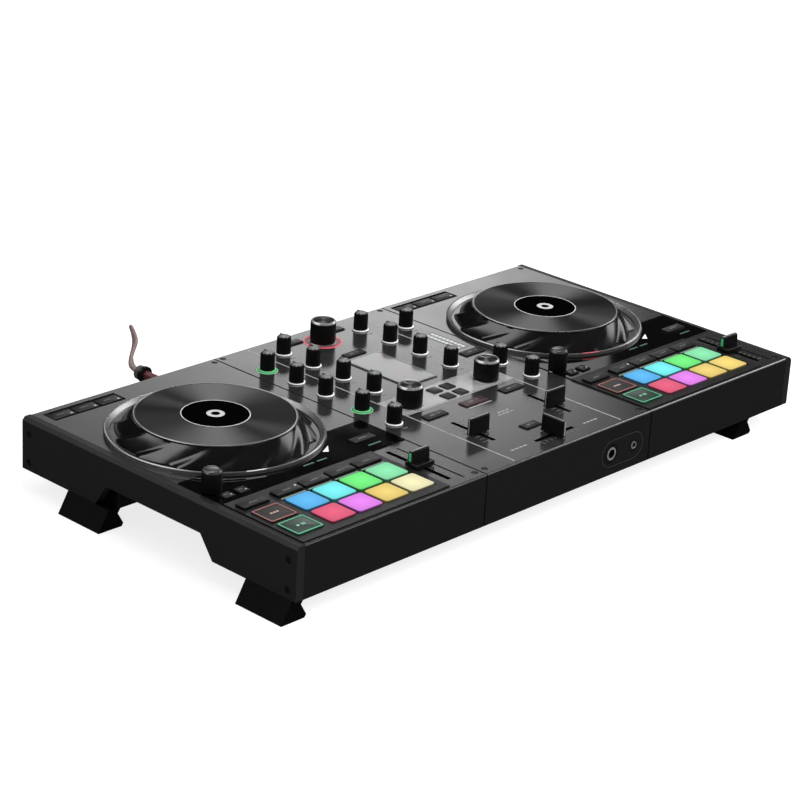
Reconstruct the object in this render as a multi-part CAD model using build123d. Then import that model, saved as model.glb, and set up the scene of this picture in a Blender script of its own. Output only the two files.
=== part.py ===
from build123d import *
import math
import os

# A two-deck dj controller: two turntable decks either side of a mixer, standing on
# four fold-out legs, with one phono lead plugged into its back panel.
#
# Frame: +X runs along the long side to the right, +Y to the back, +Z up. The origin
# is on the table, under the middle of the unit's box without the lead.
# Places on the top panel are given as (x, v): x from the middle of the case, and v
# from the case's front face towards the back. Heights h are above the top panel.

# ---- driving dimensions, mm ----------------------------------------------------
CASE_WIDTH = 535.0
CASE_DEPTH = 277.0
CASE_HEIGHT = 39.0
LEG_HEIGHT = 15.5               # the case's underside above the table
LEG_FLARE = 8.8                 # how far a leg's toe stands outside its top edge
WALL = 2.5
SEAM = 0.25                     # half the joint line between two panels
CHEEK = 7.0                     # thickness of a side plate
PHONO_OUT = 8.0                 # how far the phono sockets stand out at the back

DECK_Z = LEG_HEIGHT + CASE_HEIGHT
CENTRE_X = LEG_FLARE / 2
FRONT_Y = -(CASE_DEPTH + PHONO_OUT) / 2
BACK_Y = FRONT_Y + CASE_DEPTH

CASE_LEFT = -CASE_WIDTH / 2
CASE_RIGHT = CASE_WIDTH / 2
MIXER_LEFT = -87.4
MIXER_RIGHT = 92.6
MIXER_X = (MIXER_LEFT + MIXER_RIGHT) / 2
PANEL_LEFT = CASE_LEFT + CHEEK
PANEL_RIGHT = CASE_RIGHT - CHEEK
DECK_STEP = 352.4               # the right deck repeats the left one, this far along

GAP = 0.35                      # clearance round a button or a knob's shaft
RUNNING = 0.05                  # radial clearance of a turning fit
FINE_CUT = 0.1

# ---- left deck, at (x, v) --------------------------------------------------------
JOG = (-181.2, 171.8)
JOG_RING_R = 77.5
JOG_SKIRT_R = 71.6
JOG_TOP_R = 57.4
JOG_TOP_H = 13.8
JOG_SHAFT_R = 6.0
PAD_PITCH_X = 25.0
PAD_PITCH_V = 24.2
PAD_SIZE = (22.8, 22.0)
PAD_FIRST = (-214.65, 21.25)
BEZEL = (PANEL_LEFT + 0.4, -122.5, 2.6, 77.2)
BEZEL_H = 1.0
BEZEL_LAP = 2.0                 # how far the bezel overlaps the opening below it
TRANSPORT_X = -244.6
TRANSPORT_SIZE = (23.2, 20.4)
SHIFT_X = -245.2
MODE_SIZE = (22.8, 9.0)
MODE_V = 65.4
STRIP = (-221.9, 263.7, 64.9, 14.7)
STRIP_PITCH = 21.4
LOOP_ENCODER = (-252.0, 97.6)
TEMPO_SLOT = (-113.2, 41.0, 58.0)
TEMPO_REST = 39.4
SYNC = (-111.0, 96.8)
IN_OUT_X = (-249.2, -235.9)
IN_OUT_V = 85.9
GLOSS = (PANEL_LEFT + 0.4, MIXER_LEFT - 0.4, 77.5, 122.0)
GLOSS_H = 0.6

# ---- mixer, at (x, v) -------------------------------------------------------------
INNER = 41.5                    # half the distance between the two inner knob columns
OUTER = 74.6
ROWS = (155.7, 187.5, 219.3, 251.1)
OUTER_ROWS = (103.3, 135.3, 172.6, 203.0, 234.0)
FILTER_V = 119.8
BROWSE_V = 251.0
CHANNEL_SLOT = (57.5, 40.0)     # middle and length, along v
CHANNEL_REST = 52.6
CROSS_SLOT = (17.2, 40.0)       # v, and length along x
CROSS_REST = 1.2
DISPLAY = (177.6, 32.4, 62.0)

# ---- knobs: radius, height of the top above the panel ------------------------------
SMALL_KNOB = (5.7, 15.5)
FILTER_KNOB = (9.7, 16.5)
BROWSE_KNOB = (10.0, 18.0)
LOOP_KNOB = (7.15, 16.8)
KNOB_FLOAT = 0.6
SHAFT_R = 3.0

# ---- inside -------------------------------------------------------------------------
BOARD_Z = 42.0
BOARD_T = 1.6
POT = (11.0, 11.0, 7.4)

# ---- legs: hinge places (x from the case's middle, height) and feet -----------------
LEG_LENGTH = 43.4
LEG_PIN_R = 1.5
LEG_PIN_IN = 2.6                # how far a hinge stub reaches into the leg
LEG_KNUCKLE_R = 3.7
LEG_HINGE_X = -256.5
LEG_HINGE_Z = 21.0
LEG_STEP_X = 480.8              # the right legs repeat the left ones, this far along
LEG_FRONT_V = 3.2
LEG_BACK_V = 183.4
POCKET_TOP_Z = 35.6
POCKET_REACH = 28.9             # from a hinge to the far wall of its pocket

# ---- hand arches in the case's two sides ----------------------------------------------
ARCH_FOOT = (78.7, 197.7)
ARCH_TOP = (91.0, 186.3)
ARCH_RISE = 16.4
ARCH_DEPTH = 31.0

# ---- sockets ------------------------------------------------------------------------
JACK_Z = LEG_HEIGHT + 16.8
BIG_JACK = (7.5, 3.25, 16.0)    # radius of the nose, radius of the bore, its depth
SMALL_JACK = (4.5, 1.8, 13.0)
JACK_BIG_X = 48.6
JACK_SMALL_X = 74.2
MIC_X = 60.0
AUX_X = 84.0
USB_X = 150.0
PHONO_R = 4.15
PHONO_HOLE_R = 1.65

# ---- phono lead -----------------------------------------------------------------------
LEAD_D = 3.2
PLUG_X = -125.2
PLUG_Z = 40.5
PHONO_X = (PLUG_X, PLUG_X + 18.0, PLUG_X + 52.0, PLUG_X + 70.0)
PLUG_START = 1.6                # the plug's face stands this far off the back panel
# Each ring of a plug is the distance to its far end and its radius.
PLUG_RINGS = ((14.0, 5.2), (32.0, 3.4), (35.5, 6.4), (40.5, 5.6), (42.5, 4.6))
FAR_PLUG_RINGS = ((9.0, 4.2), (17.0, 5.6), (20.0, 6.3), (40.0, 5.2))
FAR_PLUG_FROM_COIL = 17.0
FAR_PLUG_Z = 6.4
COIL = (-38.0, 44.0, 18.5)      # x, distance behind the back panel, mid radius
COIL_TURNS_ACROSS = 3
# Points of the lead that is not coiled: (x, distance behind the back panel, height).
ROUTE = [
    (PLUG_X, 42.5, PLUG_Z),
    (-125.0, 50.0, 40.6),
    (-114.6, 62.5, 41.0),
    (-101.0, 75.2, 41.6),
    (-87.0, 87.2, 42.0),
    (-77.6, 101.0, 42.3),
    (-67.5, 118.0, 42.3),
    (-58.8, 123.9, 31.0),
    (-57.3, 123.9, 20.5),
    (-61.8, 124.0, 9.5),
    (-62.5, 114.5, 1.9),
    (-62.0, 100.0, 1.9),
    (-68.0, 86.0, 1.9),
    (-77.0, 73.5, 1.9),
    (-82.5, 60.0, 1.9),
    (-80.5, 46.5, 1.9),
    (-70.0, 35.0, 1.9),
    (-55.5, 28.0, 1.9),
    (-42.0, 25.8, 1.9),
]


def spot(place, h=0.0):
    """A location on the top panel, from (x, v), h above the panel."""
    return Pos(place[0] + CENTRE_X, place[1] + FRONT_Y, DECK_Z + h)


def block(x0, x1, v0, v1, z0, z1):
    """A box between two x, two v and two heights above the table."""
    middle = ((x0 + x1) / 2 + CENTRE_X, (v0 + v1) / 2 + FRONT_Y, (z0 + z1) / 2)
    return Pos(*middle) * Box(x1 - x0, v1 - v0, z1 - z0)


def slab(place, size, h0, h1):
    """A box centred on a place of the top panel, between two heights."""
    x, v = place
    w, d = size
    return block(x - w / 2, x + w / 2, v - d / 2, v + d / 2, DECK_Z + h0, DECK_Z + h1)


def post(place, r, h0, h1):
    """An upright cylinder at a place of the top panel, between two heights."""
    return spot(place, (h0 + h1) / 2) * Cylinder(r, h1 - h0)


def turned(place, outline):
    """A solid turned about the upright through a place, from its (r, h) outline."""
    face = make_face(Polyline([(r, 0, h) for r, h in outline], close=True))
    return spot(place) * revolve(face, Axis.Z)


def both(place):
    """A place on the left deck and its repeat on the right deck."""
    return place, (place[0] + DECK_STEP, place[1])


def save(name, *solids):
    shape = solids[0] if len(solids) == 1 else Compound(children=list(solids))
    export_step(shape, f"parts/{name}.step")


# ---- where every button and knob is ----------------------------------------------------
def pad_places():
    x, v = PAD_FIRST
    return [(x + i * PAD_PITCH_X, v + j * PAD_PITCH_V) for j in (0, 1) for i in range(4)]


def transport_places():
    x, v = TRANSPORT_X, PAD_FIRST[1]
    return [(x, v + PAD_PITCH_V), (x, v)]


def mode_places():
    return [(SHIFT_X, MODE_V)] + [(PAD_FIRST[0] + i * PAD_PITCH_X, MODE_V) for i in range(4)]


def strip_places():
    x, v = STRIP[:2]
    return [(x + i * STRIP_PITCH, v) for i in (-1, 0, 1)]


# Each entry is a place, a size, and the height of the cap's top above the panel.
def deck_button_caps():
    caps = [(p, MODE_SIZE, BEZEL_H + 1.8) for p in mode_places()]
    caps += [(p, (19.6, 9.6), -0.1) for p in strip_places()]
    caps += [((x, IN_OUT_V), (9.0, 8.0), GLOSS_H + 1.2) for x in IN_OUT_X]
    caps += [(SYNC, (21.0, 8.0), GLOSS_H + 1.0)]
    return caps


def mixer_button_caps():
    m = MIXER_X
    caps = [((m + i * 6.9, v), (9.6, 9.6), 1.0) for i in (-1, 1) for v in (113.6, 127.0)]
    caps += [((m, 94.6), (24.0, 8.6), 1.0)]
    caps += [((m + i * INNER, 94.6), (21.5, 8.6), 1.0) for i in (-1, 1)]
    caps += [((m, 217.2), (20.0, 7.6), 1.0)]
    caps += [((m + i * 22.5, 262.8), (20.0, 7.6), 1.0) for i in (-1, 1)]
    caps += [((m + OUTER, 163.4), (22.0, 8.6), 1.0)]
    caps += [((m - 1.2, 38.8), (16.0, 8.4), 1.0)]
    return caps


def small_knobs():
    m = MIXER_X
    inner = ("low", "mid", "high", "gain")
    knobs = {f"left_{n}_knob": (m - INNER, v) for n, v in zip(inner, ROWS)}
    knobs.update({f"right_{n}_knob": (m + INNER, v) for n, v in zip(inner, ROWS)})
    outer = ("master_level", "effect_depth", "aux_level", "mic_level", "effect_select")
    knobs.update({f"{n}_knob": (m - OUTER, v) for n, v in zip(outer, OUTER_ROWS)})
    far = (OUTER_ROWS[0], OUTER_ROWS[1], OUTER_ROWS[4])
    names = ("phones_level", "cue_mix", "booth_level")
    knobs.update({f"{n}_knob": (m + OUTER, v) for n, v in zip(names, far)})
    return knobs


def big_knobs():
    m = MIXER_X
    left, right = both(LOOP_ENCODER)
    return {
        "left_filter_knob": ((m - INNER, FILTER_V), FILTER_KNOB),
        "right_filter_knob": ((m + INNER, FILTER_V), FILTER_KNOB),
        "browse_encoder": ((m, BROWSE_V), BROWSE_KNOB),
        "left_loop_encoder": (left, LOOP_KNOB),
        "right_loop_encoder": (right, LOOP_KNOB),
    }


def knob_places():
    return list(small_knobs().values()) + [place for place, _ in big_knobs().values()]


# ---- case ---------------------------------------------------------------------------------
def open_channel(x0, x1):
    """A panel with its front and back walls, open below and at both ends."""
    outer = block(x0, x1, 0, CASE_DEPTH, LEG_HEIGHT, DECK_Z)
    outer = fillet(outer.edges().filter_by(Axis.X).group_by(Axis.Z)[-1], 1.6)
    inner = block(x0 - 1, x1 + 1, WALL, CASE_DEPTH - WALL, LEG_HEIGHT - 1, DECK_Z - WALL)
    return outer - inner


def hole(place, size):
    """The opening that a rectangular cap of this size needs."""
    return slab(place, (size[0] + 2 * GAP, size[1] + 2 * GAP), -WALL - 1, 3)


def deck_shell(step):
    """A deck's top panel: step is 0 for the left deck and DECK_STEP for the right."""
    if step:
        shell = open_channel(MIXER_RIGHT + SEAM, PANEL_RIGHT - SEAM)
    else:
        shell = open_channel(PANEL_LEFT + SEAM, MIXER_LEFT - SEAM)

    def here(place):
        return place[0] + step, place[1]

    x0, x1, v0, v1 = BEZEL
    lap = 2 * BEZEL_LAP
    shell -= slab(here(((x0 + x1) / 2, (v0 + v1) / 2)), (x1 - x0 - lap, v1 - v0 - lap), -4, 1)
    shell -= slab(here(STRIP[:2]), STRIP[2:], -1.3, 1)
    shell -= post(here(JOG), 11.5, -4, 1)
    shell -= post(here(LOOP_ENCODER), SHAFT_R + 0.5, -4, 1)
    x, v, length = TEMPO_SLOT
    shell -= slab(here((x, v)), (2.4, length), -4, 1)
    shell -= slab(here((x + 10.0, v - 2.0)), (1.6, length + 5), -0.8, 1)
    for place, size, top in deck_button_caps():
        if place[1] > BEZEL[3]:
            shell -= hole(here(place), size)
    for place in deck_screw_places()[2:] if step else deck_screw_places()[:2]:
        shell -= screw_seat(place)
    return shell


def screw_seat(place):
    """The recess and the hole of a screw in the top panel."""
    return post(place, 2.4, -1.3, 1) + post(place, 1.15, -4, -1)


def mixer_shell():
    m = MIXER_X
    shell = open_channel(MIXER_LEFT + SEAM, MIXER_RIGHT - SEAM)
    for place in knob_places():
        if MIXER_LEFT < place[0] < MIXER_RIGHT:
            shell -= post(place, SHAFT_R + 0.5, -4, 1)
    for place, size, top in mixer_button_caps():
        shell -= hole(place, size)
    for x in (m - INNER, m + INNER):
        shell -= slab((x, CHANNEL_SLOT[0]), (2.2, CHANNEL_SLOT[1]), -4, 1)
    shell -= slab((m, CROSS_SLOT[0]), (CROSS_SLOT[1], 2.2), -4, 1)
    shell -= slab((m, DISPLAY[0]), (DISPLAY[1] - 4, DISPLAY[2] - 4), -4, 1)
    for place in top_screw_places():
        shell -= screw_seat(place)
    for x, jack in ((JACK_BIG_X, BIG_JACK), (JACK_SMALL_X, SMALL_JACK)):
        shell -= lying((x, 0), JACK_Z, jack[0] + FINE_CUT, 10)
    return shell


def lying(place, z, r, length):
    """A cylinder lying along Y, centred on (x, v) at a height above the table."""
    x, v = place
    return Pos(x + CENTRE_X, v + FRONT_Y, z) * Rot(90, 0, 0) * Cylinder(r, length)


def arch_outline(grow, below):
    """The (v, z) outline of a hand arch, grown outwards on its sloping sides and top."""
    z0 = LEG_HEIGHT - below
    z1 = LEG_HEIGHT + ARCH_RISE + grow
    v0, v1 = ARCH_FOOT[0] - grow, ARCH_FOOT[1] + grow
    w0, w1 = ARCH_TOP[0] - grow, ARCH_TOP[1] + grow
    lean0 = (w0 - v0) / ARCH_RISE * below
    lean1 = (v1 - w1) / ARCH_RISE * below
    return [(v0 - lean0, z0), (w0, z1), (w1, z1), (v1 + lean1, z0)]


def arch(x0, x1, grow=0.0, below=0.0):
    """A hand arch's space as a prism between two x."""
    points = [(x0 + CENTRE_X, v + FRONT_Y, z) for v, z in arch_outline(grow, below)]
    return extrude(make_face(Polyline(points, close=True)), x1 - x0, dir=(1, 0, 0))


def leg_hinges():
    """Each leg's name, hinge x and front face v."""
    return {
        "front_left_leg": (LEG_HINGE_X, LEG_FRONT_V),
        "back_left_leg": (LEG_HINGE_X, LEG_BACK_V),
        "front_right_leg": (LEG_HINGE_X + LEG_STEP_X, LEG_FRONT_V),
        "back_right_leg": (LEG_HINGE_X + LEG_STEP_X, LEG_BACK_V),
    }


def pocket(hinge_x, v0, grow=0.0, below=0.0):
    """The space that a leg folds into."""
    left = hinge_x - LEG_KNUCKLE_R - 0.3
    z0 = LEG_HEIGHT - below
    x1 = hinge_x + POCKET_REACH + grow
    v1 = v0 + LEG_LENGTH + 0.4
    return block(left - grow, x1, v0 - 0.4 - grow, v1 + grow, z0, POCKET_TOP_Z + grow)


def bottom_tray():
    x0, x1 = PANEL_LEFT + SEAM, PANEL_RIGHT - SEAM
    inside = block(x0, x1, WALL + 0.1, CASE_DEPTH - WALL - 0.1, LEG_HEIGHT, DECK_Z - 6)
    tray = block(x0, x1, WALL + 0.1, CASE_DEPTH - WALL - 0.1, LEG_HEIGHT, LEG_HEIGHT + WALL)
    arches = ((x0 - 1, CASE_LEFT + ARCH_DEPTH), (CASE_RIGHT - ARCH_DEPTH, x1 + 1))
    for a, b in arches:
        tray += arch(a, b, grow=2.0) & inside
    left_end = CASE_LEFT + ARCH_DEPTH
    tray += block(left_end, left_end + 2, 76, 200, LEG_HEIGHT, LEG_HEIGHT + ARCH_RISE + 2)
    tray += block(-left_end - 2, -left_end, 76, 200, LEG_HEIGHT, LEG_HEIGHT + ARCH_RISE + 2)
    for a, b in arches:
        tray -= arch(a, b, below=1)
    for hinge_x, v0 in leg_hinges().values():
        tray += pocket(hinge_x, v0, grow=2.0) & inside
    for hinge_x, v0 in leg_hinges().values():
        tray -= pocket(hinge_x, v0, below=1)
        for v, inward in ((v0 - 0.4, 1), (v0 + LEG_LENGTH + 0.4, -1)):
            length = LEG_PIN_IN + 0.4
            tray += lying((hinge_x, v + inward * length / 2), LEG_HINGE_Z, LEG_PIN_R, length)
    for place in bottom_screw_places():
        tray -= post(place, 2.4, LEG_HEIGHT - DECK_Z - 1, LEG_HEIGHT - DECK_Z + 1.2)
    for row in range(9):
        slot = (MIXER_X, 110 + row * 8)
        tray -= slab(slot, (60, 3), LEG_HEIGHT - DECK_Z - 1, LEG_HEIGHT - DECK_Z + WALL + 1)
    return tray


def side_cheek(side):
    """A side plate: side is -1 for the left and 1 for the right."""
    outer_x = side * CASE_WIDTH / 2
    inner_x = outer_x - side * CHEEK
    x0, x1 = sorted((outer_x, inner_x))
    plate = block(x0, x1, 0, CASE_DEPTH, LEG_HEIGHT, DECK_Z)
    top_edges = plate.edges().filter_by(Axis.Y).group_by(Axis.Z)[-1].sort_by(Axis.X)
    plate = chamfer(top_edges[-1 if side > 0 else 0], 2.4)
    plate -= arch(x0 - 1, x1 + 1, below=1)
    for v, z in cheek_screw_places():
        bore = Pos(outer_x + CENTRE_X, v + FRONT_Y, z) * Rot(0, 90, 0) * Cylinder(2.6, 2.4)
        plate -= bore
    return plate


# ---- things let into the top ------------------------------------------------------------------
def pad_bezel(step):
    x0, x1, v0, v1 = BEZEL
    middle = ((x0 + x1) / 2 + step, (v0 + v1) / 2)
    plate = slab(middle, (x1 - x0, v1 - v0), 0, BEZEL_H)
    lap = 2 * BEZEL_LAP
    plate += slab(middle, (x1 - x0 - lap, v1 - v0 - lap), -WALL, 0)
    px, pv = PAD_FIRST
    pads = (px + 1.5 * PAD_PITCH_X + step, pv + 0.5 * PAD_PITCH_V)
    plate -= hole(pads, (3 * PAD_PITCH_X + PAD_SIZE[0], PAD_PITCH_V + PAD_SIZE[1]))
    for x, v in transport_places():
        plate -= hole((x + step, v), TRANSPORT_SIZE)
    for x, v in mode_places():
        plate -= hole((x + step, v), MODE_SIZE)
    return plate


def gloss_inlay(step):
    x0, x1, v0, v1 = GLOSS
    if step:
        x0, x1 = MIXER_RIGHT + 0.4 - step, PANEL_RIGHT - 0.4 - step
    inlay = slab(((x0 + x1) / 2 + step, (v0 + v1) / 2), (x1 - x0, v1 - v0), 0, GLOSS_H)
    inlay -= post((JOG[0] + step, JOG[1]), JOG_RING_R + 0.5, -1, 2)
    inlay -= post((LOOP_ENCODER[0] + step, LOOP_ENCODER[1]), SHAFT_R + 0.5, -1, 2)
    for (x, v), size, top in deck_button_caps():
        if v0 < v < v1:
            inlay -= hole((x + step, v), size)
    return inlay


def jog_base_ring(place):
    inner = JOG_SKIRT_R + 1.6
    outline = [(inner, 0), (JOG_RING_R, 0), (JOG_RING_R, 2.7), (JOG_RING_R - 0.5, 3.2)]
    outline += [(JOG_RING_R - 1.3, 3.0), (inner, 0.9)]
    return turned(place, outline)


def jog_wheel(place):
    outline = [(0, 13.0), (JOG_TOP_R, 13.0), (JOG_TOP_R + 0.6, 12.4), (JOG_SKIRT_R, 0.7)]
    outline += [(JOG_SKIRT_R - 2.6, 0.7), (JOG_TOP_R - 1.8, 11.0), (JOG_SHAFT_R, 11.0)]
    outline += [(JOG_SHAFT_R, -20.0), (0, -20.0)]
    return turned(place, outline)


def jog_bearing(place):
    bush = post(place, 11.5, -22.0, 0) + post(place, 15.0, 0, 1.2)
    return bush - post(place, JOG_SHAFT_R + RUNNING, -23, 2)


# ---- knobs, caps and buttons -----------------------------------------------------------------------
def small_knob(place):
    r, top = SMALL_KNOB
    foot = KNOB_FLOAT
    outline = [(0, top), (3.4, top - 0.7), (r - 0.5, top - 2.6), (r, foot + 1.4)]
    outline += [(r + 0.9, foot + 0.9), (r + 0.9, foot), (SHAFT_R, foot)]
    outline += [(SHAFT_R, -9.0), (0, -9.0)]
    return turned(place, outline)


def big_knob(place, size):
    r, top = size
    foot = KNOB_FLOAT + GLOSS_H
    outline = [(0, top), (r - 0.8, top), (r, top - 0.8), (r, foot), (SHAFT_R, foot)]
    outline += [(SHAFT_R, -9.0), (0, -9.0)]
    return turned(place, outline)


def button(place, size, top):
    cap = slab(place, size, -6.0, top)
    return fillet(cap.edges().filter_by(Axis.Z), 0.6)


def pad(place):
    cap = slab(place, PAD_SIZE, -6.0, BEZEL_H + 1.1)
    return fillet(cap.edges().filter_by(Axis.Z), 1.8)


def blade_cap(place, along_x):
    """A mixer fader cap: a thin upright blade on a stem through the slot."""
    w, d = (20.6, 4.4) if along_x else (4.4, 20.6)
    stem = (1.2, 4.0) if along_x else (4.0, 1.2)
    return slab(place, (w, d), 0.9, 13.4) + slab(place, stem, -7.0, 0.9)


def tempo_cap(place):
    """A pitch fader cap: a low foot with an upright blade."""
    x, v = place
    cap = slab(place, (17.6, 12.4), 0.9, 4.4)
    cap += slab((x, v + 1.4), (17.6, 5.2), 4.4, 12.6)
    return cap + slab(place, (1.4, 5.0), -7.0, 0.9)


def leg():
    """A leg's section, as (x, z) from its hinge; it runs back along Y from the front."""
    top = LEG_HEIGHT - 0.3 - LEG_HINGE_Z
    toe = -LEG_HINGE_Z
    r = LEG_KNUCKLE_R
    outline = [(-r, 0), (-r, top), (-10.9, top), (-10.9 - LEG_FLARE, toe), (1.0, toe)]
    outline += [(2.5, toe + 2.2), (-2.6, -10.2), (r - 0.4, -2.0), (r, 0)]
    face = make_face(Polyline([(x, 0, z) for x, z in outline], close=True))
    body = extrude(face, LEG_LENGTH, dir=(0, 1, 0))
    middle = Pos(0, LEG_LENGTH / 2, 0) * Rot(90, 0, 0)
    body += middle * Cylinder(r, LEG_LENGTH)
    for v in (LEG_PIN_IN / 2, LEG_LENGTH - LEG_PIN_IN / 2):
        end = Pos(0, v, 0) * Rot(90, 0, 0)
        body -= end * Cylinder(LEG_PIN_R + RUNNING, LEG_PIN_IN + 0.6)
    return body


# ---- inside ------------------------------------------------------------------------------------------
def circuit_board(x0, x1, clear):
    board = block(x0, x1, 9, 266, BOARD_Z, BOARD_Z + BOARD_T)
    for place in clear:
        board -= post(place, 14.0, BOARD_Z - DECK_Z - 1, BOARD_Z - DECK_Z + 3)
    return board


def potentiometer(place):
    base = BOARD_Z + BOARD_T - DECK_Z
    body = slab(place, POT[:2], base, base + POT[2])
    return body - post(place, SHAFT_R + RUNNING, -9.4, 0)


def slide_pot(place, size, channel):
    base = BOARD_Z + BOARD_T - DECK_Z
    return slab(place, size, base, base + 6.6) - slab(place, channel, -7.6, 0)


def slide_pots():
    m = MIXER_X
    length = TEMPO_SLOT[2]
    pots = [slide_pot(p, (9, length + 8), (3.0, length)) for p in both(TEMPO_SLOT[:2])]
    mid, length = CHANNEL_SLOT
    for x in (m - INNER, m + INNER):
        pots.append(slide_pot((x, mid), (9, length + 6), (3.0, length)))
    v, length = CROSS_SLOT
    pots.append(slide_pot((m, v), (length + 6, 9), (length, 3.0)))
    return pots


# ---- screws --------------------------------------------------------------------------------------------
def cheek_screw_places():
    return [(v, z) for v in (7.8, 269.6) for z in (LEG_HEIGHT + 6.5, LEG_HEIGHT + 27.8)]


def top_screw_places():
    return [(MIXER_X + side * 84.6, v) for side in (-1, 1) for v in (7.8, CASE_DEPTH - 5.5)]


def deck_screw_places():
    return [(x, v) for x in (MIXER_LEFT - 4.8, PANEL_RIGHT - 4.8) for v in (7.8, CASE_DEPTH - 7)]


def bottom_screw_places():
    return [(x, v) for x in (-215.0, -100.0, 100.0, 200.0) for v in (62.0, 240.0)]


def screws():
    made = []
    for place in top_screw_places() + deck_screw_places():
        made.append(post(place, 2.1, -1.2, -0.1) + post(place, 1.1, -2.4, -1.2))
    floor = LEG_HEIGHT - DECK_Z
    for place in bottom_screw_places():
        made.append(post(place, 2.1, floor + 0.2, floor + 1.2))
    for side in (-1, 1):
        for v, z in cheek_screw_places():
            x = side * (CASE_WIDTH / 2 - 0.9)
            turn = Pos(x + CENTRE_X, v + FRONT_Y, z) * Rot(0, 90, 0)
            made.append(turn * Cylinder(2.2, 0.6))
    return made


# ---- sockets ----------------------------------------------------------------------------------------------
def front_jack(x, r_out, r_bore, depth):
    """A jack socket facing forwards: its nose lies flush in the front wall."""
    nose = lying((x, WALL / 2), JACK_Z, r_out, WALL)
    body = block(x - r_out, x + r_out, WALL, depth + 3, JACK_Z - r_out, JACK_Z + r_out)
    return nose + body - lying((x, depth / 2 - 0.5), JACK_Z, r_bore, depth + 1)


def back_jack(x, r_out, r_bore, depth):
    """A jack socket facing backwards, flush in the back wall."""
    v = CASE_DEPTH
    nose = lying((x, v - WALL / 2), JACK_Z, r_out, WALL)
    body = block(x - r_out, x + r_out, v - depth - 3, v - WALL, JACK_Z - r_out, JACK_Z + r_out)
    return nose + body - lying((x, v - depth / 2 + 0.5), JACK_Z, r_bore, depth + 1)


def phono_socket(x):
    v = CASE_DEPTH
    barrel = lying((x, v + (PHONO_OUT - WALL) / 2), PLUG_Z, PHONO_R, PHONO_OUT + WALL)
    collar = lying((x, v + 0.6), PLUG_Z, 5.6, 1.2)
    body = block(x - 6, x + 6, v - WALL - 8, v - WALL, PLUG_Z - 6, PLUG_Z + 1.4)
    hole = lying((x, v + PHONO_OUT / 2 - 3), PLUG_Z, PHONO_HOLE_R, PHONO_OUT + 8)
    return barrel + collar + body - hole


def usb_socket():
    v = CASE_DEPTH
    z = JACK_Z
    body = block(USB_X - 6, USB_X + 6, v - 16, v, z - 5.4, z + 5.4)
    return body - block(USB_X - 4.25, USB_X + 4.25, v - 12, v + 1, z - 3.9, z + 3.9)


def sockets():
    made = [front_jack(JACK_BIG_X, *BIG_JACK), front_jack(JACK_SMALL_X, *SMALL_JACK)]
    made += [back_jack(MIC_X, *BIG_JACK), back_jack(AUX_X, *SMALL_JACK)]
    made += [phono_socket(x) for x in PHONO_X]
    made.append(usb_socket())
    return made


def back_wall_cuts(shell):
    v = CASE_DEPTH
    for x in PHONO_X:
        shell -= lying((x, v - 1), PLUG_Z, PHONO_R, 8)
    for x, jack in ((MIC_X, BIG_JACK), (AUX_X, SMALL_JACK)):
        shell -= lying((x, v - 1), JACK_Z, jack[0], 8)
    shell -= block(USB_X - 6, USB_X + 6, v - 4, v + 1, JACK_Z - 5.4, JACK_Z + 5.4)
    return shell


# ---- phono lead --------------------------------------------------------------------------------------------
def plug():
    """The plug in its socket, as rings (distance behind the panel, radius)."""
    start = PLUG_START
    body = None
    for end, r in PLUG_RINGS:
        ring = lying((PLUG_X, CASE_DEPTH + (start + end) / 2), PLUG_Z, r, end - start)
        body = ring if body is None else body + ring
        start = end
    bore = lying((PLUG_X, CASE_DEPTH + PHONO_OUT / 2), PLUG_Z, PHONO_R + FINE_CUT, PHONO_OUT + 1)
    return body - bore


def route_points():
    return [Vector(x + CENTRE_X, BACK_Y + back, z) for x, back, z in ROUTE]


def bend_radii(points):
    radii = []
    for a, b, c in zip(points, points[1:], points[2:]):
        turn = math.radians((b - a).get_angle(c - b))
        shorter = min((b - a).length, (c - b).length)
        radii.append(0.45 * shorter / math.tan(turn / 2))
    return radii


def lead_tube():
    points = route_points()
    radii = bend_radii(points)
    path = FilletPolyline(*points, radius=radii)
    start = Plane(origin=points[0], z_dir=points[1] - points[0])
    tube = sweep(start * Circle(LEAD_D / 2), path=path)
    print("bend radii", [round(r, 1) for r in radii])
    ideal = math.pi * LEAD_D ** 2 / 4 * path.length
    print(f"lead {path.length:.0f} mm, volume {tube.volume:.0f}, section x length {ideal:.0f}")
    return tube


def coil():
    """The put-away coil's outer shape: a ring as wide and high as its turns."""
    x, back, mid = COIL
    half = COIL_TURNS_ACROSS * LEAD_D / 2
    place = Pos(x + CENTRE_X, BACK_Y + back, half + 0.1)
    ring = Cylinder(mid + half, 2 * half) - Cylinder(mid - half, 2 * half + 2)
    return place * ring


def far_plug():
    """The lead's other plug, lying beside the coil and pointing to the right."""
    x, back, mid = COIL
    x += FAR_PLUG_FROM_COIL + CENTRE_X
    start = 0.0
    body = None
    for end, r in FAR_PLUG_RINGS:
        turn = Pos(x + (start + end) / 2, BACK_Y + back - mid, FAR_PLUG_Z)
        ring = turn * Rot(0, 90, 0) * Cylinder(r, end - start)
        body = ring if body is None else body + ring
        start = end
    return body


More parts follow.
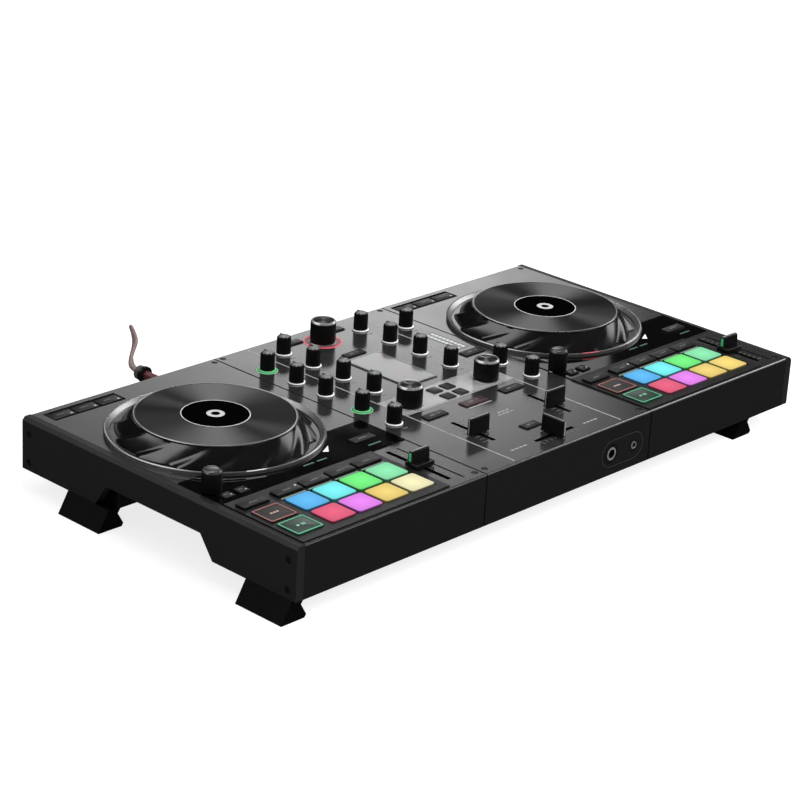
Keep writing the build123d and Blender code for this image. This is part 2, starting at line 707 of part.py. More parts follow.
# ---- write every part ------------------------------------------------------------------------------------------
def main():
    os.makedirs("parts", exist_ok=True)
    steps = (0, DECK_STEP)

    save("bottom_tray", bottom_tray())
    save("left_top_shell", back_wall_cuts(deck_shell(0)))
    save("mixer_top_shell", back_wall_cuts(mixer_shell()))
    save("right_top_shell", back_wall_cuts(deck_shell(DECK_STEP)))
    save("left_side_cheek", side_cheek(-1))
    save("right_side_cheek", side_cheek(1))
    save("pad_bezels", *[pad_bezel(s) for s in steps])
    save("gloss_inlays", *[gloss_inlay(s) for s in steps])
    save("display_window", slab((MIXER_X, DISPLAY[0]), DISPLAY[1:], 0, 0.8))
    save("jog_base_rings", *[jog_base_ring(p) for p in both(JOG)])
    save("jog_bearings", *[jog_bearing(p) for p in both(JOG)])
    save("case_screws", *screws())
    save("sockets", *sockets())
    pots = [potentiometer(p) for p in knob_places()]
    save("potentiometers", *pots, *slide_pots())
    jogs = both(JOG)
    boards = [
        circuit_board(PANEL_LEFT + 4, MIXER_LEFT - 2, [jogs[0]]),
        circuit_board(MIXER_LEFT + 2, MIXER_RIGHT - 2, []),
        circuit_board(MIXER_RIGHT + 2, PANEL_RIGHT - 4, [jogs[1]]),
    ]
    save("circuit_boards", *boards)

    for side, step in zip(("left", "right"), steps):
        jog = (JOG[0] + step, JOG[1])
        save(f"{side}_jog_wheel", jog_wheel(jog))
        save(f"{side}_jog_disc", post(jog, JOG_TOP_R - 0.2, 13.0, JOG_TOP_H))
        save(f"{side}_pads", *[pad((x + step, v)) for x, v in pad_places()])
        caps = [button((x + step, v), TRANSPORT_SIZE, BEZEL_H + 0.9) for x, v in transport_places()]
        save(f"{side}_transport_buttons", *caps)
        caps = [button((x + step, v), size, top) for (x, v), size, top in deck_button_caps()]
        save(f"{side}_function_buttons", *caps)
        save(f"{side}_tempo_cap", tempo_cap((TEMPO_SLOT[0] + step, TEMPO_REST)))
        sign = -1 if side == "left" else 1
        save(f"{side}_channel_cap", blade_cap((MIXER_X + sign * INNER, CHANNEL_REST), True))

    save("mixer_buttons", *[button(p, size, top) for p, size, top in mixer_button_caps()])
    save("crossfader_cap", blade_cap((CROSS_REST, CROSS_SLOT[0]), False))
    for name, place in small_knobs().items():
        save(name, small_knob(place))
    for name, (place, size) in big_knobs().items():
        save(name, big_knob(place, size))
    for name, (hinge_x, v0) in leg_hinges().items():
        save(name, Pos(hinge_x + CENTRE_X, v0 + FRONT_Y, LEG_HINGE_Z) * leg())

    save("rca_plug", plug())
    save("rca_cable", lead_tube())
    save("rca_cable_coil", coil())
    save("rca_far_plug", far_plug())


main()
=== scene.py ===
import bmesh
import bpy
import math
from mathutils import Matrix, Vector

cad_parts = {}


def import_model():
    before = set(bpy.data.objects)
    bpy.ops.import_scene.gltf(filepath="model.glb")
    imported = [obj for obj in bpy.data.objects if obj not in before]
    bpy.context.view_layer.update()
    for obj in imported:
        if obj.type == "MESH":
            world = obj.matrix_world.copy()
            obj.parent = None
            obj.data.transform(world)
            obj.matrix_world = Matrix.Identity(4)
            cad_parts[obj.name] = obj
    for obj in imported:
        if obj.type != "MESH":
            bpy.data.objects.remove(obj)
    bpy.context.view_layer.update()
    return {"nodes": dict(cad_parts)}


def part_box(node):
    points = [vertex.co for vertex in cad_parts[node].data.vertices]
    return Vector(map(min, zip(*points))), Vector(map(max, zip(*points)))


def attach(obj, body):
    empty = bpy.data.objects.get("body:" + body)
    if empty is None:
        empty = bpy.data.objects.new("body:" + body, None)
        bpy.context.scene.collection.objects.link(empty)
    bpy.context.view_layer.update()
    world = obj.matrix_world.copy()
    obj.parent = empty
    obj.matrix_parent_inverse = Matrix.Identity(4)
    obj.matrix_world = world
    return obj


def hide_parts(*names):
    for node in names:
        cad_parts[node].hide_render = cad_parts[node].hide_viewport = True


# The looks of a two-deck dj controller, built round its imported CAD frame.
# Lengths are in millimetres where a name or a comment says so, and turned into
# metres by MM. Places on the top panel are (x, v): x from the middle of the case,
# and v from its front face towards the back.

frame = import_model()

MM = 0.001
CASE_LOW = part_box("left_side_cheek")[0]
CASE_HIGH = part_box("right_side_cheek")[1]
CENTRE_X = (CASE_LOW.x + CASE_HIGH.x) / 2
FRONT_Y = CASE_LOW.y
BACK_Y = CASE_HIGH.y
DECK_Z = CASE_HIGH.z
SIDES = ("left", "right")


def centre(node):
    low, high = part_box(node)
    return (low + high) / 2


DECK_STEP = (centre("right_jog_disc").x - centre("left_jog_disc").x) / MM
MIXER_X = (centre("browse_encoder").x - CENTRE_X) / MM


def at(x, v, h=0.0):
    """A point h above the top panel, from its place in millimetres."""
    return Vector((CENTRE_X + x * MM, FRONT_Y + v * MM, DECK_Z + h * MM))


def before(x, out, z):
    """A point out mm before the front face and z mm above the table."""
    return Vector((CENTRE_X + x * MM, FRONT_Y - out * MM, z * MM))


def by(point, x, y=0.0, h=0.0):
    """A point moved by so many millimetres."""
    return point + Vector((x * MM, y * MM, h * MM))


def place_of(node):
    """The (x, v) of a node's middle, in millimetres."""
    middle = centre(node)
    return (middle.x - CENTRE_X) / MM, (middle.y - FRONT_Y) / MM


def deck_point(node):
    """The point of the top panel under a node's middle."""
    return at(*place_of(node))


# ---- camera ----
def make_camera():
    """A long lens, from above and beyond the front left corner."""
    data = bpy.data.cameras.new("camera")
    data.sensor_width = 36.0
    data.lens = 112.6
    camera = bpy.data.objects.new("camera", data)
    camera.location = (-1.2763, -1.1499, 0.7366)
    camera.rotation_euler = [math.radians(a) for a in (67.94, -3.05, -46.30)]
    bpy.context.scene.collection.objects.link(camera)
    bpy.context.scene.camera = camera


make_camera()


# ---- materials ----
def shader_of(made):
    return made.node_tree.nodes["Principled BSDF"]


def material(name, color, roughness, metallic=0.0, **sockets):
    """A Principled material; sockets are further inputs, with _ for each space."""
    made = bpy.data.materials.new(name)
    made.use_nodes = True
    shader = shader_of(made)
    shader.inputs["Base Color"].default_value = (*color, 1.0)
    shader.inputs["Roughness"].default_value = roughness
    shader.inputs["Metallic"].default_value = metallic
    for key, value in sockets.items():
        shader.inputs[key.replace("_", " ")].default_value = value
    return made


def add_node(made, kind, **inputs):
    """A new node; inputs are its own inputs, with _ for each space."""
    node = made.node_tree.nodes.new(kind)
    for key, value in inputs.items():
        node.inputs[key.replace("_", " ")].default_value = value
    return node


def patches(made, size, detail):
    """Noise in patches of size mm that stays with the piece."""
    where = add_node(made, "ShaderNodeTexCoord")
    noise = add_node(made, "ShaderNodeTexNoise", Scale=1.0 / (size * MM), Detail=detail)
    made.node_tree.links.new(where.outputs["Object"], noise.inputs["Vector"])
    return noise.outputs["Fac"]


def two_colours(made, first, second):
    ramp = add_node(made, "ShaderNodeValToRGB")
    ramp.color_ramp.elements[0].color = (*first, 1.0)
    ramp.color_ramp.elements[1].color = (*second, 1.0)
    return ramp


def emit(made, color, strength=0.0):
    shader_of(made).inputs["Emission Color"].default_value = (*color, 1.0)
    shader_of(made).inputs["Emission Strength"].default_value = strength


def grain(made, size, depth):
    """A fine moulded grain: size and depth in millimetres."""
    link = made.node_tree.links.new
    bump = add_node(made, "ShaderNodeBump", Strength=1.0, Distance=depth * MM)
    link(patches(made, size, 2.0), bump.inputs["Height"])
    link(bump.outputs["Normal"], shader_of(made).inputs["Normal"])
    return made


def worn(made, low, high, size):
    """Uneven gloss: roughness wanders between low and high over patches of size mm."""
    link = made.node_tree.links.new
    spread = add_node(made, "ShaderNodeMapRange", From_Min=0.3, From_Max=0.7, To_Min=low, To_Max=high)
    link(patches(made, size, 5.0), spread.inputs["Value"])
    link(spread.outputs["Result"], shader_of(made).inputs["Roughness"])
    return made


def mottled(made, first, second, size):
    """Two close colours in soft patches of size mm."""
    link = made.node_tree.links.new
    ramp = two_colours(made, first, second)
    ramp.color_ramp.elements[0].position = 0.35
    ramp.color_ramp.elements[1].position = 0.65
    link(patches(made, size, 3.0), ramp.inputs["Fac"])
    link(ramp.outputs["Color"], shader_of(made).inputs["Base Color"])
    return made


def top_only(made, top, side, metallic):
    """Metallic lacquer on the faces that look up, and plain plastic on the upright ones."""
    shader = shader_of(made)
    link = made.node_tree.links.new
    where = add_node(made, "ShaderNodeTexCoord")
    parts = add_node(made, "ShaderNodeSeparateXYZ")
    amount = add_node(made, "ShaderNodeMapRange", From_Min=0.35, From_Max=0.75)
    coat = add_node(made, "ShaderNodeMapRange", To_Max=metallic)
    ramp = two_colours(made, side, top)
    link(where.outputs["Normal"], parts.inputs["Vector"])
    link(parts.outputs["Z"], amount.inputs["Value"])
    link(amount.outputs["Result"], ramp.inputs["Fac"])
    link(amount.outputs["Result"], coat.inputs["Value"])
    link(ramp.outputs["Color"], shader.inputs["Base Color"])
    link(coat.outputs["Result"], shader.inputs["Metallic"])
    return made


def grey(value):
    return (value, value, value)


def linear(red, green, blue):
    """A colour from its 0 to 255 screen values."""
    def one(value):
        value /= 255.0
        return value / 12.92 if value <= 0.04045 else ((value + 0.055) / 1.055) ** 2.4
    return one(red), one(green), one(blue)


def lit(name, color, strength, roughness=0.35):
    """A glowing material: a translucent lens lit from behind, and also painted light that falls on a
    part, such as the pads' green light on the tempo caps.
    """
    made = material(name, [c * 0.6 for c in color], roughness)
    emit(made, color, strength)
    return made


def moulded(name, value, roughness, specular, spread, patch, grain_size, depth):
    """Moulded plastic in one grey: uneven gloss over patches and a fine grain, both in mm."""
    made = material(name, grey(value), roughness, Specular_IOR_Level=specular)
    return grain(worn(made, *spread, patch), grain_size, depth)


def printed(name, value, low, high):
    """Screen-printed ink in one grey that is a little uneven."""
    return mottled(material(name, grey(value), 0.45), grey(low), grey(high), 1.5)


LACQUER = top_only(worn(material("lacquer", grey(0.25), 0.18, Specular_IOR_Level=0.15), 0.155, 0.2, 35.0),
                   grey(0.25), grey(0.007), 0.95)
INLAY = worn(material("piano_black", grey(0.001), 0.05), 0.03, 0.06, 30.0)
BEZEL = moulded("bezel_black", 0.006, 0.3, 0.35, (0.28, 0.38), 8.0, 0.5, 0.006)
SIDE = moulded("side_charcoal", 0.012, 0.42, 0.2, (0.38, 0.5), 25.0, 0.45, 0.01)
TRAY = moulded("tray_black", 0.005, 0.6, 0.2, (0.55, 0.7), 12.0, 0.8, 0.03)
LEG = moulded("leg_black", 0.002, 0.5, 0.15, (0.42, 0.58), 10.0, 0.6, 0.02)
SILVER = worn(material("satin_silver", grey(0.38), 0.3, metallic=0.9), 0.26, 0.36, 6.0)
BRIGHT = worn(material("bright_silver", grey(0.4), 0.28, metallic=0.7), 0.22, 0.34, 4.0)
SMOKE = worn(material("smoked_top", grey(0.06), 0.25, metallic=0.6), 0.2, 0.3, 4.0)
SKIRT = worn(material("jog_skirt_black", grey(0.07), 0.2, metallic=0.95), 0.16, 0.24, 9.0)
LABEL = worn(material("label_black", grey(0.001), 0.4, Specular_IOR_Level=0.0), 0.35, 0.5, 10.0)
RUBBER = moulded("knob_rubber", 0.003, 0.55, 0.2, (0.5, 0.62), 3.0, 0.25, 0.01)
KNOB_TOP = moulded("knob_top_grey", 0.12, 0.35, 0.5, (0.3, 0.42), 2.0, 0.2, 0.005)
WHITE = worn(material("white_ring", grey(0.78), 0.35), 0.3, 0.42, 2.0)
PRINT = printed("light_print", 0.25, 0.22, 0.28)
PALE_PRINT = printed("pale_print", 0.42, 0.38, 0.46)
FAINT_PRINT = printed("faint_print", 0.035, 0.03, 0.04)
DIM_PRINT = printed("dim_print", 0.1, 0.085, 0.12)
CAP = moulded("fader_black", 0.004, 0.3, 0.3, (0.25, 0.38), 3.0, 0.3, 0.004)
STEEL = worn(material("zinc_steel", grey(0.42), 0.35, metallic=1.0), 0.28, 0.45, 3.0)
SCREW = worn(material("black_steel", grey(0.03), 0.35, metallic=0.8), 0.3, 0.45, 1.5)
SOCKET = moulded("socket_black", 0.004, 0.3, 0.3, (0.25, 0.4), 4.0, 0.4, 0.004)
BOARD = mottled(material("solder_mask", (0.01, 0.08, 0.03), 0.35), (0.008, 0.07, 0.03),
                (0.014, 0.1, 0.04), 6.0)
ACETAL = mottled(material("acetal", grey(0.6), 0.4), grey(0.55), grey(0.65), 4.0)
FLEX = grain(mottled(material("flex_sheath", (0.16, 0.11, 0.11), 0.5), (0.13, 0.085, 0.085),
                     (0.2, 0.14, 0.14), 3.0), 0.5, 0.02)
PLUG_RED = mottled(material("plug_red", (0.09, 0.012, 0.014), 0.4), (0.075, 0.01, 0.012),
                   (0.11, 0.015, 0.018), 3.0)
PLUG_GREY = grain(mottled(material("plug_grey", (0.045, 0.05, 0.042), 0.45), (0.036, 0.041, 0.034),
                          (0.055, 0.06, 0.05), 3.0), 0.4, 0.01)
DISPLAY = mottled(material("display_glass", grey(0.24), 0.12, metallic=0.5), (0.22, 0.25, 0.23),
                  (0.26, 0.235, 0.25), 14.0)
BAND = worn(mottled(material("effects_band", grey(0.36), 0.25, metallic=0.35), grey(0.33),
                    grey(0.39), 12.0), 0.2, 0.28, 15.0)
SEAM_SHADE = worn(material("seam_shade", grey(0.002), 0.6, Specular_IOR_Level=0.1), 0.5, 0.7, 9.0)


def brushed_disc(name, color):
    """Metal turned on a lathe: its scratches run round the upright axis."""
    made = material(name, color, 0.36, metallic=0.97, Anisotropic=0.98, Anisotropic_Rotation=0.25,
                    Specular_Tint=(0.4, 0.4, 0.4, 1.0))
    round_the_axis = add_node(made, "ShaderNodeTangent")
    round_the_axis.direction_type = "RADIAL"
    round_the_axis.axis = "Z"
    made.node_tree.links.new(round_the_axis.outputs["Tangent"], shader_of(made).inputs["Tangent"])
    return made


DISC = brushed_disc("turned_disc", grey(0.12))
DISC_TOP = brushed_disc("turned_knob_top", grey(0.1))


# ---- mesh helpers ----
def ring(middle, r, h, count, wave=None):
    """A circle of points; wave(angle) is added to the radius. r and h in mm."""
    points = []
    for i in range(count):
        angle = 2 * math.pi * i / count
        reach = r + (wave(angle) if wave else 0.0)
        points.append(by(middle, reach * math.cos(angle), reach * math.sin(angle), h))
    return points


def rounded_rect(w, d, r, steps=4):
    """The (x, y) outline of a rounded rectangle round the origin, in mm."""
    r = min(r, w / 2 - 0.01, d / 2 - 0.01)
    points = []
    for quarter, (sx, sy) in enumerate(((1, 1), (-1, 1), (-1, -1), (1, -1))):
        for k in range(steps + 1):
            angle = math.radians(90 * (quarter + k / steps))
            x = sx * (w / 2 - r) + r * math.cos(angle)
            y = sy * (d / 2 - r) + r * math.sin(angle)
            points.append((x, y))
    return points


def skin(bm, rings, closed=False):
    """Faces between rings of points, which all have the same number of points.

    closed also joins the last ring to the first, as on a tube bent into a hoop.
    """
    rows = [[bm.verts.new(p) for p in points] for points in rings]
    for lower, upper in zip(rows, rows[1:] + rows[:1] if closed else rows[1:]):
        for i in range(len(lower)):
            j = (i + 1) % len(lower)
            bm.faces.new((lower[i], lower[j], upper[j], upper[i]))
    return rows


def loft(bm, rings):
    """A skin over rings of points, with both ends closed."""
    rows = skin(bm, rings)
    bm.faces.new(rows[0][::-1])
    bm.faces.new(rows[-1])


def lifted(middle, outline, h):
    """An (x, y) outline in mm, placed round a point and h mm above it."""
    return [by(middle, x, y, h) for x, y in outline]


def lathe(bm, middle, outline, count=64, wave=None, ribbed=None):
    """A turned solid from its (r, h) outline in mm, bottom first; ribbed says which h get the wave."""
    rings = []
    for r, h in outline:
        use = wave if wave and (ribbed is None or ribbed[0] <= h <= ribbed[1]) else None
        rings.append(ring(middle, r, h, count, use))
    loft(bm, rings)


def annulus(bm, middle, inner, outer, low, high, count=64):
    """A flat ring with a rounded outer edge, in mm."""
    edge = min(0.25, (high - low) / 2)
    outline = [(inner, low), (outer, low), (outer, high - edge), (outer - edge, high)]
    outline += [(inner + edge * 0.5, high), (inner, high - edge * 0.5)]
    skin(bm, [ring(middle, r, h, count) for r, h in outline], closed=True)


def cap(bm, middle, w, d, low, high, corner=0.6, edge=0.35, dish=0.0):
    """A key's cap: a rounded rectangle with a rounded top edge; dish hollows its top."""
    levels = [(0.0, low), (0.0, high - edge)]
    for k in (1, 2, 3):
        turn = math.radians(30 * k)
        levels.append((edge * (1 - math.cos(turn)), high - edge * (1 - math.sin(turn))))
    if dish:
        levels += [(edge + 0.8, high), (edge + 1.6, high - dish)]
    rings = []
    for inset, h in levels:
        outline = rounded_rect(w - 2 * inset, d - 2 * inset, max(corner - inset, 0.1))
        rings.append(lifted(middle, outline, h))
    loft(bm, rings)


def frame_line(bm, middle, w, d, line, low, high, corner=0.6):
    """The outline of a rounded rectangle as a raised line, in mm."""
    outer = rounded_rect(w, d, corner)
    inner = rounded_rect(w - 2 * line, d - 2 * line, max(corner - line, 0.1))
    levels = ((outer, low), (outer, high), (inner, high), (inner, low))
    skin(bm, [lifted(middle, outline, h) for outline, h in levels], closed=True)


def bar(bm, middle, w, d, low, high, turn=0.0):
    """A plain thin mark, w by d mm, turned by some degrees."""
    spin = Matrix.Rotation(math.radians(turn), 3, "Z")
    rings = []
    for h in (low, high):
        corners = ((w / 2, d / 2), (-w / 2, d / 2), (-w / 2, -d / 2), (w / 2, -d / 2))
        rings.append([middle + spin @ Vector((x * MM, y * MM, h * MM)) for x, y in corners])
    loft(bm, rings)


def prism(bm, corners, low, high):
    """An upright prism over (x, v) corners on the panel, anticlockwise."""
    loft(bm, [[at(x, v, h) for x, v in corners] for h in (low, high)])


def piece(name, bm, look, body, stands_for=(), smooth=35.0):
    """Turns a bmesh into a piece that rides on a body and takes a material."""
    bmesh.ops.recalc_face_normals(bm, faces=bm.faces[:])
    mesh = bpy.data.meshes.new(name)
    bm.to_mesh(mesh)
    bm.free()
    mesh.shade_smooth()
    mesh.set_sharp_from_angle(angle=math.radians(smooth))
    mesh.materials.append(look)
    made = bpy.data.objects.new(name, mesh)
    bpy.context.scene.collection.objects.link(made)
    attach(made, body)
    if stands_for:
        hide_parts(*stands_for)
    return made


def shaped(name, look, body, slot, shape, *args):
    """A piece made by one call of a shape function, such as bar, on a new mesh."""
    bm = bmesh.new()
    shape(bm, *args)
    return piece(name, bm, look, body)


def turned(name, middle, outline, count, look, body, stands_for=(), smooth=35.0, wave=None,
           ribbed=None):
    """A piece that is one turned solid; the arguments are lathe's and piece's."""
    bm = bmesh.new()
    lathe(bm, middle, outline, count, wave, ribbed)
    return piece(name, bm, look, body, stands_for, smooth)


def solids(node):
    """The (low, high) corners of each separate solid of a node."""
    bm = bmesh.new()
    bm.from_mesh(frame["nodes"][node].data)
    bmesh.ops.remove_doubles(bm, verts=bm.verts, dist=1e-6)
    left, found = set(bm.verts), []
    while left:
        group, todo = [], [next(iter(left))]
        left.discard(todo[0])
        while todo:
            vert = todo.pop()
            group.append(vert.co.copy())
            for edge in vert.link_edges:
                other = edge.other_vert(vert)
                if other in left:
                    left.discard(other)
                    todo.append(other)
        low = Vector([min(p[i] for p in group) for i in range(3)])
        high = Vector([max(p[i] for p in group) for i in range(3)])
        found.append((low, high))
    bm.free()
    return sorted(found, key=lambda b: (round(b[0].y, 4), round(b[0].x, 4)))


def cap_box(low, high):
    """A solid's middle on the panel, and its width, depth and top in mm."""
    middle = Vector(((low.x + high.x) / 2, (low.y + high.y) / 2, DECK_Z))
    w, d = (high.x - low.x) / MM, (high.y - low.y) / MM
    return middle, w, d, (high.z - DECK_Z) / MM


def top_of(node):
    """How far a node reaches above the top panel, in mm."""
    return (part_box(node)[1].z - DECK_Z) / MM


def paint(node, look):
    """Gives a CAD node its material."""
    mesh = frame["nodes"][node].data
    mesh.materials.clear()
    mesh.materials.append(look)


# ---- the phono lead ----
LEAD_D = 3.2
PLUG_X = -125.2
PLUG_Z = 40.5
ROUTE = [
    (PLUG_X, 42.5, PLUG_Z),
    (-125.0, 50.0, 40.6),
    (-114.6, 62.5, 41.0),
    (-101.0, 75.2, 41.6),
    (-87.0, 87.2, 42.0),
    (-77.6, 101.0, 42.3),
    (-67.5, 118.0, 42.3),
    (-58.8, 123.9, 31.0),
    (-57.3, 123.9, 20.5),
    (-61.8, 124.0, 9.5),
    (-62.5, 114.5, 1.9),
    (-62.0, 100.0, 1.9),
    (-68.0, 86.0, 1.9),
    (-77.0, 73.5, 1.9),
    (-82.5, 60.0, 1.9),
    (-80.5, 46.5, 1.9),
    (-70.0, 35.0, 1.9),
    (-55.5, 28.0, 1.9),
    (-42.0, 25.8, 1.9),
]
COIL_MIDDLE = (-38.0, 44.0)     # x, distance behind the back panel
COIL_TURNS = 7
COIL_POINTS = 16                # per turn
COIL_LOWEST = 1.7               # height of the lowest turns' middle
# Each turn's radius and its layer. It moves over a little earlier than the turn below it.
COIL_LAYS = [(18.5, 0), (21.7, 0), (21.7, 1), (18.5, 1), (15.3, 1), (15.3, 2), (18.5, 2), (21.7, 2)]


def behind(x, back, z):
    """A point behind the back panel, in metres, from millimetres."""
    return Vector((CENTRE_X + x * MM, BACK_Y + back * MM, z * MM))


def coil_points():
    """The put-away turns, beside and on each other, and the end that runs out to the plug."""
    points = []
    x, back = COIL_MIDDLE
    lay_points = COIL_POINTS - 2
    for i in range(1, COIL_TURNS * COIL_POINTS + 1):
        angle = 2 * math.pi * i / COIL_POINTS - math.pi / 2
        lay, step = divmod(max(i - 2, 0), lay_points)
        share = max(step - lay_points + 2, 0) / 2
        (r0, layer0), (r1, layer1) = COIL_LAYS[lay], COIL_LAYS[min(lay + 1, 7)]
        r = r0 + (r1 - r0) * share
        z = COIL_LOWEST + LEAD_D * (layer0 + (layer1 - layer0) * share)
        points.append(behind(x + r * math.cos(angle), back + r * math.sin(angle), z))
    points.append(behind(x + 8.0, back - 19.8, 7.6))
    points.append(behind(x + 17.0, back - 18.5, 6.4))
    return points


def make_lead():
    points = [behind(*p) for p in ROUTE] + coil_points()
    data = bpy.data.curves.new("phono_lead", "CURVE")
    data.dimensions = "3D"
    data.bevel_depth = LEAD_D / 2 * MM
    data.bevel_resolution = 5
    data.resolution_u = 6
    data.use_fill_caps = True
    spline = data.splines.new("NURBS")
    spline.points.add(len(points) - 1)
    for target, p in zip(spline.points, points):
        target.co = (*p, 1.0)
    spline.order_u = 3
    spline.use_endpoint_u = True
    data.materials.append(FLEX)
    lead = bpy.data.objects.new("phono_lead", data)
    bpy.context.scene.collection.objects.link(lead)
    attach(lead, "chassis")
    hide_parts("rca_cable", "rca_cable_coil")
    return lead


def lying_turned(bm, start, direction, rings, count=40):
    """A turned solid along a direction, from its (distance, radius) rings in mm."""
    turn = direction.to_track_quat("Z", "Y").to_matrix()
    loft(bm, [[start + turn @ p for p in ring(Vector(), r, along, count)] for along, r in rings])


def make_plug(name, start, direction, ends, node):
    """A phono plug: shell, coloured neck, collar and boot. ends says how far each one reaches."""
    shell, neck, collar, boot, tail = ends
    parts = [
        ("shell", PLUG_GREY, [(0, 4.9), (0.4, 5.1), (shell - 0.8, 5.1), (shell, 4.4)]),
        ("neck", PLUG_RED, [(shell, 3.3), (neck, 3.3)]),
        ("collar", SOCKET, [(neck, 5.0), (neck + 0.5, 6.3), (collar - 0.5, 6.3), (collar, 5.6)]),
        ("boot", PLUG_GREY, [(collar, 5.5), (boot - 0.6, 5.5), (boot, 4.1), (tail, 2.4)]),
    ]
    made = []
    for part, look, rings in parts:
        bm = bmesh.new()
        lying_turned(bm, start, direction, rings)
        made.append(piece(f"{name}_{part}", bm, look, "chassis"))
    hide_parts(node)
    return made


def far_plug_tip(start, direction):
    """The loose plug's bare contacts: the shield's rim and the pin."""
    bm = bmesh.new()
    lying_turned(bm, start, -direction, [(-1.0, 3.9), (5.0, 3.9), (5.4, 3.7), (5.4, 3.1), (0.4, 3.1)])
    lying_turned(bm, start, -direction, [(0.0, 1.5), (9.0, 1.5), (10.2, 0.6)], 24)
    return piece("far_plug_contacts", bm, BRIGHT, "chassis")


lead = make_lead()
back_plug = make_plug("back_plug", behind(PLUG_X, 1.6, PLUG_Z), Vector((0, 1, 0)),
                      (12.4, 30.4, 33.9, 38.9, 40.9), "rca_plug")
FAR_TIP = behind(COIL_MIDDLE[0] + 57.0, COIL_MIDDLE[1] - 18.5, 6.4)
far_plug = make_plug("far_plug", FAR_TIP, Vector((-1, 0, 0)),
                     (15.0, 20.0, 23.0, 31.0, 40.0), "rca_far_plug")
far_plug.append(far_plug_tip(FAR_TIP, Vector((-1, 0, 0))))


# ---- carried-over CAD nodes ----
CAD_LOOKS = (
    (TRAY, ("bottom_tray",)),
    (LACQUER, ("left_top_shell", "mixer_top_shell", "right_top_shell")),
    (SIDE, ("left_side_cheek", "right_side_cheek")),
    (BEZEL, ("pad_bezels",)),
    (INLAY, ("gloss_inlays",)),
    (DISPLAY, ("display_window",)),
    (SILVER, ("jog_base_rings",)),
    (STEEL, ("jog_bearings",)),
    (SOCKET, ("sockets",)),
    (ACETAL, ("potentiometers",)),
    (BOARD, ("circuit_boards",)),
    (LEG, ("front_left_leg", "back_left_leg", "front_right_leg", "back_right_leg")),
)
for look, nodes in CAD_LOOKS:
    for node in nodes:
        paint(node, look)


# ---- jog wheels ----
JOG_FOOT_R = 71.6
JOG_RIM_R = 57.4
JOG_FOOT_H = 0.7
JOG_RIM_H = 13.0
PLATTER_H = 13.75
LABEL_R = 24.7
FACETS = 14
FACET_TURN = math.radians(22)    # how far a facet leans round from foot to rim
FACET_DEPTH = 4.0
GROOVE_PITCH = 1.3
GROOVE_DEPTH = 0.1
WEDGE_FROM = math.radians(-116.5)
WEDGE_TO = math.radians(-106.0)


def facet(angle, t):
    """How far the skirt is cut in, at an angle and at t from foot (0) to rim (1)."""
    share = ((angle - FACET_TURN * t) * FACETS / (2 * math.pi)) % 1.0
    saw = share / 0.82 if share < 0.82 else (1 - share) / 0.18
    return -FACET_DEPTH * (1 - t) ** 0.8 * saw


def jog_skirt(side, middle):
    bm = bmesh.new()
    steps = 12
    rings = [ring(middle, JOG_FOOT_R - 6, JOG_FOOT_H, 360)]
    for k in range(steps + 1):
        t = k / steps
        r = JOG_FOOT_R + (JOG_RIM_R + 0.6 - JOG_FOOT_R) * t
        h = JOG_FOOT_H + (JOG_RIM_H - 0.4 - JOG_FOOT_H) * t
        rings.append(ring(middle, r, h, 360, lambda angle, t=t: facet(angle, t)))
    rings.append(ring(middle, JOG_RIM_R + 0.5, JOG_RIM_H + 0.4, 360))
    rings.append(ring(middle, JOG_RIM_R - 0.5, JOG_RIM_H + 0.5, 360))
    loft(bm, rings)
    piece(f"{side}_jog_skirt", bm, SKIRT, f"{side}_jog",
          [f"{side}_jog_wheel"], smooth=28)


def jog_platter(side, middle):
    outline = [(JOG_RIM_R - 1.3, JOG_RIM_H), (JOG_RIM_R - 1.3, JOG_RIM_H + 0.7)]
    r = JOG_RIM_R - 2.0
    while r > LABEL_R + 1:
        outline += [(r, PLATTER_H), (r - GROOVE_PITCH * 0.4, PLATTER_H - GROOVE_DEPTH)]
        r -= GROOVE_PITCH
    outline += [(LABEL_R, 13.7)]
    turned(f"{side}_jog_platter", middle, outline, 192, DISC, f"{side}_jog",
           [f"{side}_jog_disc"], smooth=60)


def jog(side):
    middle = deck_point(f"{side}_jog_disc")
    jog_skirt(side, middle)
    jog_platter(side, middle)
    shaped(f"{side}_jog_rim", SILVER, f"{side}_jog", "silver_ring",
           annulus, middle, JOG_RIM_R - 1.1, JOG_RIM_R, JOG_RIM_H, JOG_RIM_H + 0.95, 192)
    turned(f"{side}_jog_label", middle, [(LABEL_R, 13.5), (LABEL_R, 13.8), (LABEL_R - 0.3, 13.9)],
           128, LABEL, f"{side}_jog")
    bm = bmesh.new()
    annulus(bm, middle, LABEL_R - 0.9, LABEL_R - 0.1, 13.8, 13.98, 128)
    annulus(bm, middle, 3.2, 6.5, 13.85, 14.0, 64)
    piece(f"{side}_jog_label_rings", bm, PALE_PRINT, f"{side}_jog")
    wedge_light(side, middle)


def wedge_light(side, middle):
    """The short lit arc on the base ring, at the front."""
    wedge = WEDGE_WHITE if side == "left" else WEDGE_RED
    bm = bmesh.new()
    steps = 8
    rings = []
    for k in range(steps + 1):
        angle = WEDGE_FROM + (WEDGE_TO - WEDGE_FROM) * k / steps
        corners = ((73.0, 1.2), (77.8, 3.3), (77.8, 3.6), (73.0, 1.5))
        rings.append([by(middle, r * math.cos(angle), r * math.sin(angle), h) for r, h in corners])
    loft(bm, rings)
    piece(f"{side}_jog_light", bm, wedge, "chassis")


WEDGE_WHITE = lit("light_white", (0.9, 0.92, 0.9), 1.0)
WEDGE_RED = lit("light_rose", linear(245, 120, 135), 1.0)
for side in SIDES:
    jog(side)


# ---- knobs ----
FLUTES = 18
FLUTE_DEPTH = 0.28
NOTCHES = 9
RING_LIT_KNOBS = ("effect_select_knob", "effect_depth_knob")
FOOT_GREEN = lit("foot_green", linear(95, 175, 120), 0.6)


